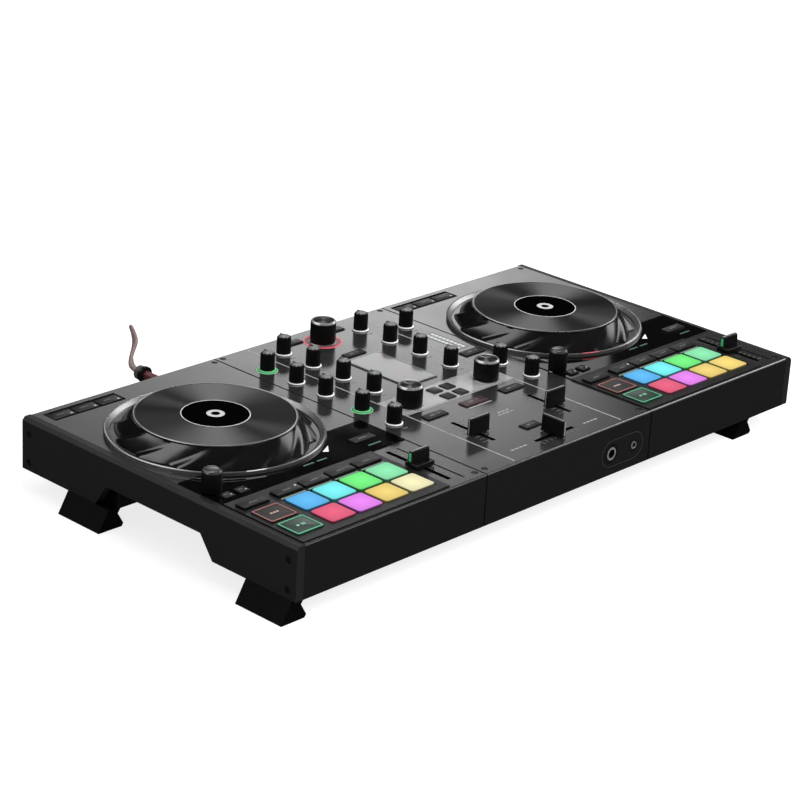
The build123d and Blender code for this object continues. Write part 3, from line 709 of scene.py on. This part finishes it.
def fluted(angle):
    """A grip's shallow flutes, round between narrow ridges."""
    return -FLUTE_DEPTH * abs(math.cos(FLUTES * angle / 2)) ** 1.6


def scalloped(angle):
    """The grip's upper edge, cut into wide lobes."""
    return -0.45 * (0.5 + 0.5 * math.cos(NOTCHES * angle))


def small_knob(name):
    middle = deck_point(name)
    outline = [(5.6, 0.9), (5.6, 1.6), (5.55, 7.0), (5.5, 12.9), (5.25, 13.8), (4.7, 14.3), (4.3, 14.4)]
    turned(f"{name}_grip", middle, outline, 108, RUBBER, name, [name], 50, fluted, (1.5, 13.9))
    outline = [(4.6, 13.9), (4.3, 14.5), (3.3, 15.0), (1.8, 15.35), (0.6, 15.45)]
    turned(f"{name}_dome", middle, outline, 96, KNOB_TOP, name, wave=scalloped,
           ribbed=(13.9, 14.6))
    shaped(f"{name}_pointer", RUBBER, name, "knob", bar, by(middle, 0.0, 2.4), 0.8, 3.6, 14.6, 15.5)
    bm = bmesh.new()
    for k in range(NOTCHES):
        angle = 2 * math.pi * (k + 0.5) / NOTCHES
        place = by(middle, 4.5 * math.cos(angle), 4.5 * math.sin(angle))
        bar(bm, place, 0.7, 0.45, 14.1, 14.5, math.degrees(angle) + 90)
    piece(f"{name}_notches", bm, PRINT, name)
    foot_look = FOOT_GREEN if name in RING_LIT_KNOBS else WHITE
    turned(f"{name}_foot_ring", middle, [(6.3, 0.2), (6.55, 0.3), (6.55, 0.8), (6.3, 1.05), (5.2, 1.1)],
           64, foot_look, name)


def milled(angle):
    """A big grip's fine upright milling."""
    return -0.12 * abs(math.cos(24 * angle)) ** 2


def big_knob(name, ring_look, top_look, inset):
    low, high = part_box(name)
    middle = deck_point(name)
    r = (high.x - low.x) / 2 / MM
    foot = 1.2
    top = (high.z - DECK_Z) / MM
    floor = top - inset
    outline = [(r - 0.4, foot), (r - 0.1, foot + 0.4), (r - 0.1, top - 2.2), (r - 0.5, top - 1.6)]
    turned(f"{name}_grip", middle, outline, 96, RUBBER, name, [name], 50, milled,
           (foot + 0.3, top - 2.0))
    outline = [(r - 0.3, top - 1.7), (r - 0.2, top - 1.3), (r - 0.9, top - 0.3), (r - 1.3, top),
               (r - 1.7, top - 0.1), (r - 1.9, floor), (r - 2.6, floor)]
    turned(f"{name}_top_ring", middle, outline, 96, ring_look, name)
    outline = [(r - 2.0, floor - 0.3), (r - 2.0, floor + 0.1), (r - 2.4, floor + 0.25)]
    turned(f"{name}_inset", middle, outline, 64, top_look, name)
    if name.endswith("filter_knob"):
        shaped(f"{name}_pointer", PRINT, name, "print",
               bar, by(middle, 0.0, 4.0), 0.9, 6.4, floor, floor + 0.5)
    shaped(f"{name}_foot_ring", SILVER, "chassis", "silver_ring",
           annulus, middle, r - 1.2, r + 0.5, 0.05, 0.45, 96)


SMALL_KNOBS = [f"{side}_{band}_knob" for side in SIDES for band in ("low", "mid", "high", "gain")]
SMALL_KNOBS += ["master_level_knob", "effect_depth_knob", "aux_level_knob", "mic_level_knob",
                "effect_select_knob", "phones_level_knob", "cue_mix_knob", "booth_level_knob"]
for name in SMALL_KNOBS:
    small_knob(name)
for side in SIDES:
    big_knob(f"{side}_filter_knob", BRIGHT, DISC_TOP, 0.7)
    big_knob(f"{side}_loop_encoder", SMOKE, SMOKE, 0.4)
big_knob("browse_encoder", BRIGHT, DISC_TOP, 0.5)


# ---- fader caps ----
def fader_cap(name, body, slot_along_x):
    """A thin upright blade with a light line over its top and down one end."""
    middle = deck_point(name)
    w, d = (4.4, 20.6) if slot_along_x else (20.6, 4.4)
    bm = bmesh.new()
    levels = [(0.0, 1.0), (0.0, 1.6), (0.35, 3.0), (0.5, 11.0), (0.6, 12.6), (1.0, 13.2), (1.6, 13.4)]
    rings = []
    for inset, h in levels:
        narrow, long = 2 * inset, 2 * inset * 0.4
        cut = (narrow, long) if slot_along_x else (long, narrow)
        rings.append(lifted(middle, rounded_rect(w - cut[0], d - cut[1], 0.9), h))
    loft(bm, rings)
    stem = (1.2, 4.0) if slot_along_x else (4.0, 1.2)
    bar(bm, middle, *stem, -4.0, 1.2)
    piece(f"{name}_blade", bm, CAP, body, [name], smooth=40)
    bm = bmesh.new()
    if slot_along_x:
        bar(bm, middle, 0.7, d - 1.6, 13.3, 13.5)
        bar(bm, by(middle, 0.0, -(d / 2 - 0.1)), 0.7, 0.5, 2.0, 12.9)
    else:
        bar(bm, middle, w - 1.6, 0.7, 13.3, 13.5)
        bar(bm, by(middle, -(w / 2 - 0.1)), 0.5, 0.7, 2.0, 12.9)
    piece(f"{name}_line", bm, PRINT, body)


# Painted light: the pads' green light falling on the left side of each tempo cap, drawn as a glowing
# material, though no lamp is there.
PAINTED_PAD_GLOW = lit("painted_pad_glow_green", linear(60, 150, 105), 0.45)


def tempo_cap(name):
    middle = deck_point(name)
    bm = bmesh.new()
    cap(bm, middle, 17.6, 12.4, 0.9, 4.2, 1.0, 0.8, 0.4)
    piece(f"{name}_foot", bm, CAP, name, [name])
    bm = bmesh.new()
    blade = by(middle, 0.0, 1.4)
    rings = []
    for thin, h in ((0.0, 3.6), (0.0, 5.0), (0.5, 11.4), (0.9, 12.3), (1.5, 12.6)):
        outline = rounded_rect(17.6 - 2 * thin * 0.3, 5.2 - 2 * thin, 0.9)
        rings.append(lifted(blade, outline, h))
    loft(bm, rings)
    bar(bm, middle, 1.4, 5.0, -4.0, 1.0)
    piece(f"{name}_blade", bm, CAP, name, smooth=40)
    shaped(f"{name}_line", PRINT, name, "print", bar, blade, 16.4, 0.8, 12.5, 12.75)
    # Painted light: a glowing green bar down the blade's left side, for the pads' light falling on it.
    shaped(f"{name}_painted_pad_light", PAINTED_PAD_GLOW, name, "light", bar, by(blade, -8.65), 0.3, 2.2, 5.2, 11.4)


fader_cap("left_channel_cap", "left_channel_cap", False)
fader_cap("right_channel_cap", "right_channel_cap", False)
fader_cap("crossfader_cap", "crossfader_cap", True)
for side in SIDES:
    tempo_cap(f"{side}_tempo_cap")


# ---- pads ----
# Screen colours from the player's left, the front row first.
PAD_COLORS = [(238, 95, 130), (240, 135, 250), (246, 216, 121), (252, 245, 195),
              (92, 190, 252), (121, 250, 253), (117, 251, 132), (142, 240, 181)]
RIGHT_LAST_PAD = (255, 225, 125)
KEY_FOOT = -2.0                 # how far pads and keys reach below the top panel's face


def pad_look(name, color):
    """A silicone pad lit from below: brightest over its middle, dark down its sides."""
    made = material(name, [c * 0.04 for c in color], 0.5, Specular_IOR_Level=0.15)
    emit(made, color)
    link = made.node_tree.links.new
    where = add_node(made, "ShaderNodeTexCoord")
    shift = add_node(made, "ShaderNodeMapping", Location=(-0.55, -0.55, 0.0), Scale=(1.1, 1.1, 0.0))
    fall = add_node(made, "ShaderNodeTexGradient")
    fall.gradient_type = "SPHERICAL"
    spread = add_node(made, "ShaderNodeMapRange", From_Min=0.2, To_Min=0.68, To_Max=1.0)
    upright = add_node(made, "ShaderNodeSeparateXYZ")
    sides = add_node(made, "ShaderNodeMapRange", From_Min=0.3, From_Max=0.95, To_Min=0.07)
    both = add_node(made, "ShaderNodeMath")
    both.operation = "MULTIPLY"
    link(where.outputs["Generated"], shift.inputs["Vector"])
    link(shift.outputs["Vector"], fall.inputs["Vector"])
    link(fall.outputs["Fac"], spread.inputs["Value"])
    link(where.outputs["Normal"], upright.inputs["Vector"])
    link(upright.outputs["Z"], sides.inputs["Value"])
    link(spread.outputs["Result"], both.inputs[0])
    link(sides.outputs["Result"], both.inputs[1])
    link(both.outputs["Value"], shader_of(made).inputs["Emission Strength"])
    return made


def pads(side):
    colors = PAD_COLORS[:]
    if side == "right":
        colors[3] = RIGHT_LAST_PAD
    for i, ((low, high), color) in enumerate(zip(solids(f"{side}_pads"), colors), 1):
        middle, w, d, top = cap_box(low, high)
        bm = bmesh.new()
        cap(bm, middle, w - 0.2, d - 0.1, KEY_FOOT, top, 2.5, 0.9)
        made = piece(f"{side}_pad_{i}", bm, pad_look(f"{side}_pad_{i}", linear(*color)),
                     f"{side}_pads")
        if i == 1:
            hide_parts(f"{side}_pads")


for side in SIDES:
    pads(side)


# ---- transport keys ----
CUE_LOOK = mottled(material("cue_maroon", (0.006, 0.001, 0.001), 0.45), (0.005, 0.001, 0.001),
                   (0.007, 0.0015, 0.0015), 8.0)
PLAY_LOOK = mottled(material("play_green", (0.002, 0.022, 0.012), 0.35), (0.002, 0.019, 0.01),
                    (0.003, 0.026, 0.014), 8.0)
CUE_RIM = lit("cue_rim", linear(125, 80, 76), 0.75)
PLAY_RIM = lit("play_rim", linear(75, 150, 115), 0.7)
CUE_MARK = lit("cue_mark", linear(170, 140, 135), 0.6)
PLAY_MARK = lit("play_mark", linear(130, 190, 160), 0.6)


def triangle(bm, middle, size, low, high):
    """An upright triangular prism that points to +X."""
    corners = ((size, 0.0), (-size * 0.5, size * 0.75), (-size * 0.5, -size * 0.75))
    loft(bm, [lifted(middle, corners, h) for h in (low, high)])


def transport_keys(side):
    body = f"{side}_transport_buttons"
    names = ("play", "cue")
    looks = ((PLAY_LOOK, PLAY_RIM, PLAY_MARK), (CUE_LOOK, CUE_RIM, CUE_MARK))
    for name, (face, rim, mark), (low, high) in zip(names, looks, solids(body)):
        middle, w, d, top = cap_box(low, high)
        key = shaped(f"{side}_{name}_key", face, body, "transport",
                     cap, middle, w, d, KEY_FOOT, top, 1.2, 0.5)
        if name == "play":
            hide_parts(body)
        shaped(f"{side}_{name}_rim", rim, body, "light",
               frame_line, middle, w - 0.5, d - 0.4, 0.9, top - 0.6, top + 0.2, 1.2)
        bm = bmesh.new()
        if name == "play":
            triangle(bm, by(middle, -2.2), 1.7, top - 0.1, top + 0.08)
            for step in (1.6, 3.4):
                bar(bm, by(middle, step), 0.9, 2.5, top - 0.1, top + 0.08)
        else:
            for step in (-2.6, 0.0, 2.6):
                bar(bm, by(middle, step), 1.8, 1.8, top - 0.1, top + 0.08)
        piece(f"{side}_{name}_mark", bm, mark, body)


for side in SIDES:
    transport_keys(side)


# ---- small keys ----
DOT = lit("dot_white", (0.4, 0.42, 0.4), 0.5)
STRIP_LIGHT = lit("strip_light", linear(110, 125, 115), 0.7)
TEAL_LIGHT = lit("teal_light", linear(48, 78, 70), 0.7)
KEY_DARK = moulded("key_black", 0.004, 0.4, 0.3, (0.34, 0.46), 3.0, 0.3, 0.004)


def deck_keys(side):
    body = f"{side}_function_buttons"
    keys, marks, dots = bmesh.new(), bmesh.new(), bmesh.new()
    mode_number = 0
    for low, high in solids(body):
        middle, w, d, top = cap_box(low, high)
        cap(keys, middle, w, d, KEY_FOOT, top, 0.6, 0.4)
        if w > 22:
            mode_number += 1
            bar(marks, by(middle, 0.0, -0.4), 7.0, 0.9, top - 0.1, top + 0.05)
            if mode_number == 2:
                bar(dots, by(middle, 9.0, 1.2), 1.5, 1.8, top - 0.1, top + 0.1)
        elif w > 19 and d > 9:
            bar(dots, by(middle, 7.2, -2.6), 1.6, 1.6, top - 0.1, top + 0.1)
            bar(marks, by(middle, -1.0, 0.4), 6.0, 0.8, top - 0.1, top + 0.05)
        elif w < 10:
            bar(dots, by(middle, 2.6, -1.4), 1.2, 1.2, top - 0.1, top + 0.1)
            bar(marks, by(middle, -0.8, 0.6), 3.6, 0.8, top - 0.1, top + 0.05)
        else:
            bar(marks, middle, 8.0, 1.2, top - 0.1, top + 0.05)
    piece(f"{side}_deck_keys", keys, KEY_DARK, body, [body])
    piece(f"{side}_deck_key_marks", marks, DIM_PRINT, body)
    piece(f"{side}_deck_key_dots", dots, DOT, body)


def mixer_keys():
    body = "mixer_buttons"
    keys, marks, red = bmesh.new(), bmesh.new(), bmesh.new()
    for low, high in solids(body):
        middle, w, d, top = cap_box(low, high)
        cap(red if w > 23 else keys, middle, w, d, KEY_FOOT, top, 0.7, 0.4)
        if w > 12:
            bar(marks, by(middle, -0.12 * w), w * 0.22, 1.6, top - 0.1, top + 0.05)
            bar(marks, by(middle, 0.18 * w, 0.3), w * 0.16, 1.0, top - 0.1, top + 0.05)
    piece("mixer_keys", keys, KEY_DARK, body, [body])
    piece("assistant_key", red, mottled(material("key_red", (0.035, 0.012, 0.014), 0.4),
                                       (0.03, 0.011, 0.012), (0.04, 0.014, 0.016), 5.0), body)
    piece("mixer_key_marks", marks, DIM_PRINT, body)


for side in SIDES:
    deck_keys(side)
mixer_keys()


# ---- lights and prints on the panel ----
LINE_X = (-55.3, 61.2)
BAND_V = (108.0, 136.0)
PRINT_H = (0.0, 0.06)


def strip(bm, x0, x1, v0, v1, low=PRINT_H[0], high=PRINT_H[1]):
    """A thin rectangle between two x and two v."""
    prism(bm, [(x0, v0), (x1, v0), (x1, v1), (x0, v1)], low, high)


def mixer_prints():
    bm = bmesh.new()
    for x in LINE_X:
        strip(bm, x - 0.6, x + 0.6, 4.0, 274.0)
    strip(bm, MIXER_X - 12.0, MIXER_X + 12.0, 87.3, 88.5)
    strip(bm, LINE_X[0], LINE_X[1], 106.6, 107.6)
    strip(bm, LINE_X[0], LINE_X[1], 136.2, 137.0)
    piece("mixer_lines", bm, PRINT, "chassis")
    shaped("effects_band", BAND, "chassis", "print",
           strip, LINE_X[0] + 0.6, LINE_X[1] - 0.6, *BAND_V, 0.0, 0.05)
    bm = bmesh.new()
    _, w, d, _ = cap_box(*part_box("display_window"))
    frame_line(bm, deck_point("display_window"), w + 1.8, d + 1.8, 1.6, 0.0, 0.9, 1.2)
    piece("display_frame", bm, SILVER, "chassis")


def fader_ticks():
    """The short scale lines beside the fader slots."""
    bm = bmesh.new()
    for side in SIDES:
        x, _ = place_of(f"{side}_channel_cap")
        for k in range(9):
            v = 39.5 + k * 4.5
            reach = 6.5 if k % 4 == 0 else 4.5
            strip(bm, x - 3.2 - reach, x - 3.2, v - 0.25, v + 0.25)
            strip(bm, x + 3.2, x + 3.2 + reach, v - 0.25, v + 0.25)
        x, _ = place_of(f"{side}_tempo_cap")
        for k in range(13):
            v = 14.0 + k * 4.5
            reach = 4.6 if k % 6 == 0 else 3.0
            strip(bm, x + 2.6, x + 2.6 + reach, v - 0.25, v + 0.25)
    _, v = place_of("crossfader_cap")
    for k in range(9):
        x = MIXER_X + (k - 4) * 4.6
        reach = 5.0 if k % 4 == 0 else 3.4
        strip(bm, x - 0.25, x + 0.25, v - 3.2 - reach, v - 3.2)
        strip(bm, x - 0.25, x + 0.25, v + 3.2, v + 3.2 + reach)
    piece("fader_ticks", bm, DIM_PRINT, "chassis")


def fader_slots():
    """The dark felt-lined slots that the caps slide in."""
    bm = bmesh.new()
    for side in SIDES:
        x, _ = place_of(f"{side}_channel_cap")
        strip(bm, x - 1.6, x + 1.6, 37.0, 78.0, 0.0, 0.08)
        x, _ = place_of(f"{side}_tempo_cap")
        strip(bm, x - 1.7, x + 1.7, 11.5, 70.5, 0.0, 0.08)
    _, v = place_of("crossfader_cap")
    strip(bm, MIXER_X - 20.5, MIXER_X + 20.5, v - 1.6, v + 1.6, 0.0, 0.08)
    piece("fader_slots", bm, LABEL, "chassis")


def knob_labels():
    """Small dashes that stand for the printed legend in front of each knob."""
    bm = bmesh.new()
    for name in SMALL_KNOBS:
        x, v = place_of(name)
        strip(bm, x - 2.4, x + 2.4, v - 11.6, v - 10.6)
    for side in SIDES:
        x, v = place_of(f"{side}_filter_knob")
        strip(bm, x - 3.0, x + 3.0, v - 14.6, v - 13.6)
    piece("knob_labels", bm, DIM_PRINT, "chassis")


def level_meters():
    """Two rows of lit segments in a dark window."""
    bm = bmesh.new()
    for x in (75.8, 81.2):
        for k in range(9):
            v = 175.0 + k * 4.0
            strip(bm, x - 1.5, x + 1.5, v, v + 3.2, 0.0, 0.12)
    piece("level_meter_lights", bm, lit("meter_light", linear(185, 190, 186), 0.55), "chassis")
    shaped("level_meter_window", INLAY, "chassis", "window", strip, 72.6, 84.4, 173.4, 211.6, 0.0, 0.06)


def ring_lights(knobs, count, line, glow):
    """A thin lit line round each knob, with a faint glow between it and the knob.

    line and glow each give a piece's name, its two radii in mm and its material.
    """
    for (part, radii, look), top in ((line, 0.3), (glow, 0.12)):
        bm = bmesh.new()
        for knob in knobs:
            annulus(bm, deck_point(knob), *radii, 0.02, top, count)
        piece(part, bm, look, "chassis")


def deck_seams():
    """The dark joints between the mixer's panel and the decks."""
    bm = bmesh.new()
    for node, side in (("left_top_shell", 1), ("right_top_shell", 0)):
        x = (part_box(node)[side].x - CENTRE_X) / MM
        strip(bm, x - 0.7, x + 0.7, 3.0, 274.0, 0.0, 0.05)
        edges = [(x - 0.6, 0.0), (x + 0.6, 0.0), (x + 0.6, 0.06), (x - 0.6, 0.06)]
        heights = (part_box(node)[0].z / MM + 0.5, DECK_Z / MM - 0.3)
        loft(bm, [[before(a, out, z) for a, out in edges] for z in heights])
    piece("deck_seams", bm, SEAM_SHADE, "chassis")


def deck_prints(side):
    shift = 0.0 if side == "left" else DECK_STEP
    bm = bmesh.new()
    top = top_of("gloss_inlays")
    corners = [(-138.3, 103.2), (-148.5, 98.2), (-145.1, 95.5)]
    prism(bm, [(shift + x, v) for x, v in corners], top, top + 0.06)
    piece(f"{side}_jog_marker", bm, WHITE, "chassis")
    bm = bmesh.new()
    for x0, x1, v in ((-116.0, -104.0, 84.8), (-176.0, -166.0, 88.0), (-163.0, -154.0, 88.0)):
        strip(bm, shift + x0, shift + x1, v, v + 1.6, top, top + 0.1)
    piece(f"{side}_inlay_lights", bm, TEAL_LIGHT, "chassis")
    bm = bmesh.new()
    top = top_of("pad_bezels")
    for low, high in solids(f"{side}_pads")[4:]:
        x = ((low.x + high.x) / 2 - CENTRE_X) / MM
        v = (high.y - FRONT_Y) / MM
        strip(bm, x - 11.0, x + 11.0, v + 1.4, v + 2.7, top, top + 0.1)
    piece(f"{side}_pad_strips", bm, STRIP_LIGHT, "chassis")


def plain_marks():
    """Rows of dashes where such a panel has its printed words."""
    bm = bmesh.new()
    rows = [(-2.5, 65.0, 4, 4.2), (0.5, 68.4, 3, 4.2), (-44.0, 16.2, 4, 4.4), (34.0, 15.8, 4, 4.0)]
    for x0, v, count, pitch in rows:
        for k in range(count):
            x = x0 + k * pitch
            strip(bm, x, x + pitch - 1.0, v, v + 1.5)
    piece("plain_marks", bm, PRINT, "chassis")


mixer_prints()
plain_marks()
fader_ticks()
fader_slots()
knob_labels()
level_meters()
ring_lights(RING_LIT_KNOBS, 64,
            ("effect_ring_lights", (7.5, 8.1), lit("ring_green", linear(105, 190, 130), 0.75)),
            ("effect_ring_glow", (6.7, 7.4), lit("glow_green", linear(45, 80, 55), 0.8)))
ring_lights(("browse_encoder",), 96,
            ("browse_ring_light", (14.0, 14.9), lit("ring_rose", linear(205, 75, 92), 0.85)),
            ("browse_ring_glow", (10.3, 13.8), lit("glow_rose", linear(105, 62, 68), 0.7)))
deck_seams()
for side in SIDES:
    deck_prints(side)


# ---- screws ----
def cross(angle):
    """The outline of a cross recess, as a change to a radius of 0.35 mm."""
    return 0.85 * max(0.0, 1 - abs(math.sin(2 * angle)) * 2.2)


def screw_heads():
    bm = bmesh.new()
    for low, high in solids("case_screws"):
        middle = (low + high) / 2
        size = high - low
        across = min(range(3), key=lambda i: size[i]) if max(size) > 3 * min(size) else 2
        if across == 0:
            out = Vector((1 if middle.x > CENTRE_X else -1, 0, 0))
            face = Vector((high.x if out.x > 0 else low.x, middle.y, middle.z))
        else:
            up = middle.z > DECK_Z / 2
            out = Vector((0, 0, 1 if up else -1))
            face = Vector((middle.x, middle.y, high.z if up else low.z))
        turn = out.to_track_quat("Z", "Y").to_matrix()
        rows = [(2.1, -1.1, None), (2.1, -0.5, None), (1.8, -0.1, None), (1.4, 0.0, None),
                (0.35, 0.0, cross), (0.3, -0.7, cross)]
        loft(bm, [[face + turn @ p for p in ring(Vector(), r, h, 48, wave)] for r, h, wave in rows])
    piece("screw_heads", bm, SCREW, "chassis", ["case_screws"])


screw_heads()


# ---- front jacks ----
def front_jacks():
    """The rings of the two headphone jacks, and the printed line round both."""
    x0, x1, z = 48.6, 74.2, 32.3
    turn = Vector((0, -1, 0)).to_track_quat("Z", "Y").to_matrix()
    bm = bmesh.new()
    for x, r, bore in ((x0, 4.9, 3.5), (x1, 2.9, 2.0)):
        start = before(x, 0.0, z)
        rows = [(bore, 0.0), (r, 0.0), (r, 0.3), (r - 0.3, 0.5), (bore + 0.2, 0.5), (bore, 0.3)]
        skin(bm, [[start + turn @ p for p in ring(Vector(), rr, h, 48)] for rr, h in rows], closed=True)
    piece("jack_rings", bm, BRIGHT, "chassis")
    bm = bmesh.new()
    reach, line = 10.5, 0.35
    outline = []
    for x, first in ((x0, 90.0), (x1, -90.0)):
        for k in range(33):
            angle = math.radians(first + 180.0 * k / 32)
            outline.append((x, math.cos(angle), math.sin(angle)))
    rings = []
    for r, out in ((reach, 0.0), (reach, 0.06), (reach - line, 0.06), (reach - line, 0.0)):
        rings.append([before(x + r * across, out, z + r * up) for x, across, up in outline])
    skin(bm, rings, closed=True)
    piece("jack_surround_line", bm, FAINT_PRINT, "chassis")


front_jacks()


# ---- floor and light ----
FLOOR_GLOW = 0.8
FLOOR_ACROSS = 30000            # mm
CARD_DISTANCE = 60.0            # metres, so that a card looks the same from every part of the case
WORLD_GLOW = 0.6
WORLD_GLOW_REFLECTED = 0.015


def make_floor():
    look = mottled(material("studio_floor", grey(0.3), 0.9), grey(0.29), grey(0.31), 300.0)
    emit(look, grey(1.0), FLOOR_GLOW)
    bm = bmesh.new()
    bar(bm, Vector(), FLOOR_ACROSS, FLOOR_ACROSS, -20.0, 0.0)
    bmesh.ops.recalc_face_normals(bm, faces=bm.faces[:])
    mesh = bpy.data.meshes.new("floor")
    bm.to_mesh(mesh)
    bm.free()
    mesh.materials.append(look)
    floor = bpy.data.objects.new("floor", mesh)
    floor.visible_glossy = False
    bpy.context.scene.collection.objects.link(floor)


def area_light(name, location, target, size, power):
    data = bpy.data.lights.new(name, "AREA")
    data.shape = "RECTANGLE"
    data.size, data.size_y = size
    data.energy = power
    light = bpy.data.objects.new(name, data)
    light.location = location
    light.rotation_euler = (Vector(target) - Vector(location)).to_track_quat("-Z", "Y").to_euler()
    light.visible_camera = False
    bpy.context.scene.collection.objects.link(light)
    return light


def far_card(name, azimuths, elevations, near, far):
    """A bright card far away that only reflections see; its glow goes from near to far across it."""
    corners = []
    for across, up in ((0, 0), (1, 0), (1, 1), (0, 1)):
        a = math.radians(azimuths[across])
        rise = math.tan(math.radians(elevations[up]))
        corners.append(Vector((math.cos(a), math.sin(a), rise)) * CARD_DISTANCE)
    mesh = bpy.data.meshes.new(name)
    mesh.from_pydata(corners, [], [(0, 1, 2, 3)])
    uv = mesh.uv_layers.new(name="across")
    for loop, where in zip(uv.data, ((0, 0), (1, 0), (1, 1), (0, 1))):
        loop.uv = where
    look = bpy.data.materials.new(name)
    look.use_nodes = True
    look.node_tree.nodes.clear()
    link = look.node_tree.links.new
    out = add_node(look, "ShaderNodeOutputMaterial")
    glow = add_node(look, "ShaderNodeEmission")
    across = add_node(look, "ShaderNodeTexCoord")
    split = add_node(look, "ShaderNodeSeparateXYZ")
    ramp = add_node(look, "ShaderNodeMapRange", To_Min=near, To_Max=far)
    ramp.interpolation_type = "SMOOTHSTEP"
    link(across.outputs["UV"], split.inputs["Vector"])
    link(split.outputs["X"], ramp.inputs["Value"])
    link(ramp.outputs["Result"], glow.inputs["Strength"])
    link(glow.outputs["Emission"], out.inputs["Surface"])
    mesh.materials.append(look)
    card = bpy.data.objects.new(name, mesh)
    card.visible_camera = False
    card.visible_diffuse = False
    card.visible_shadow = False
    bpy.context.scene.collection.objects.link(card)


def make_world():
    """A white studio that reflections see as dark, apart from its cards."""
    world = bpy.data.worlds.new("studio")
    world.use_nodes = True
    link = world.node_tree.links.new
    background = world.node_tree.nodes["Background"]
    background.inputs["Color"].default_value = (*grey(1.0), 1.0)
    path = add_node(world, "ShaderNodeLightPath")
    dim = add_node(world, "ShaderNodeMapRange", To_Min=WORLD_GLOW, To_Max=WORLD_GLOW_REFLECTED)
    seen = add_node(world, "ShaderNodeMath")
    seen.operation = "MAXIMUM"
    link(path.outputs["Is Glossy Ray"], dim.inputs["Value"])
    link(dim.outputs["Result"], seen.inputs[0])
    link(path.outputs["Is Camera Ray"], seen.inputs[1])
    link(seen.outputs["Value"], background.inputs["Strength"])
    bpy.context.scene.world = world
    bpy.context.scene.view_settings.view_transform = "Standard"


def make_lights():
    overhead = area_light("overhead", (0.8, -1.3, 2.2), (0, 0, 0), (3.0, 3.0), 130.0)
    overhead.visible_glossy = False
    far_card("back_card", (42.5, 53.0), (2.0, 22.3), 1.75, 0.6)
    far_card("back_card_edge", (37.3, 42.5), (2.0, 22.3), 0.75, 1.75)
    far_card("high_card", (30.0, 60.0), (45.0, 68.0), 7.0, 7.0)
    far_card("left_card", (100.0, 180.0), (30.0, 65.0), 2.4, 2.4)
    far_card("right_card", (-18.0, 12.0), (14.0, 42.0), 3.0, 3.0)


make_floor()
make_world()
make_lights()
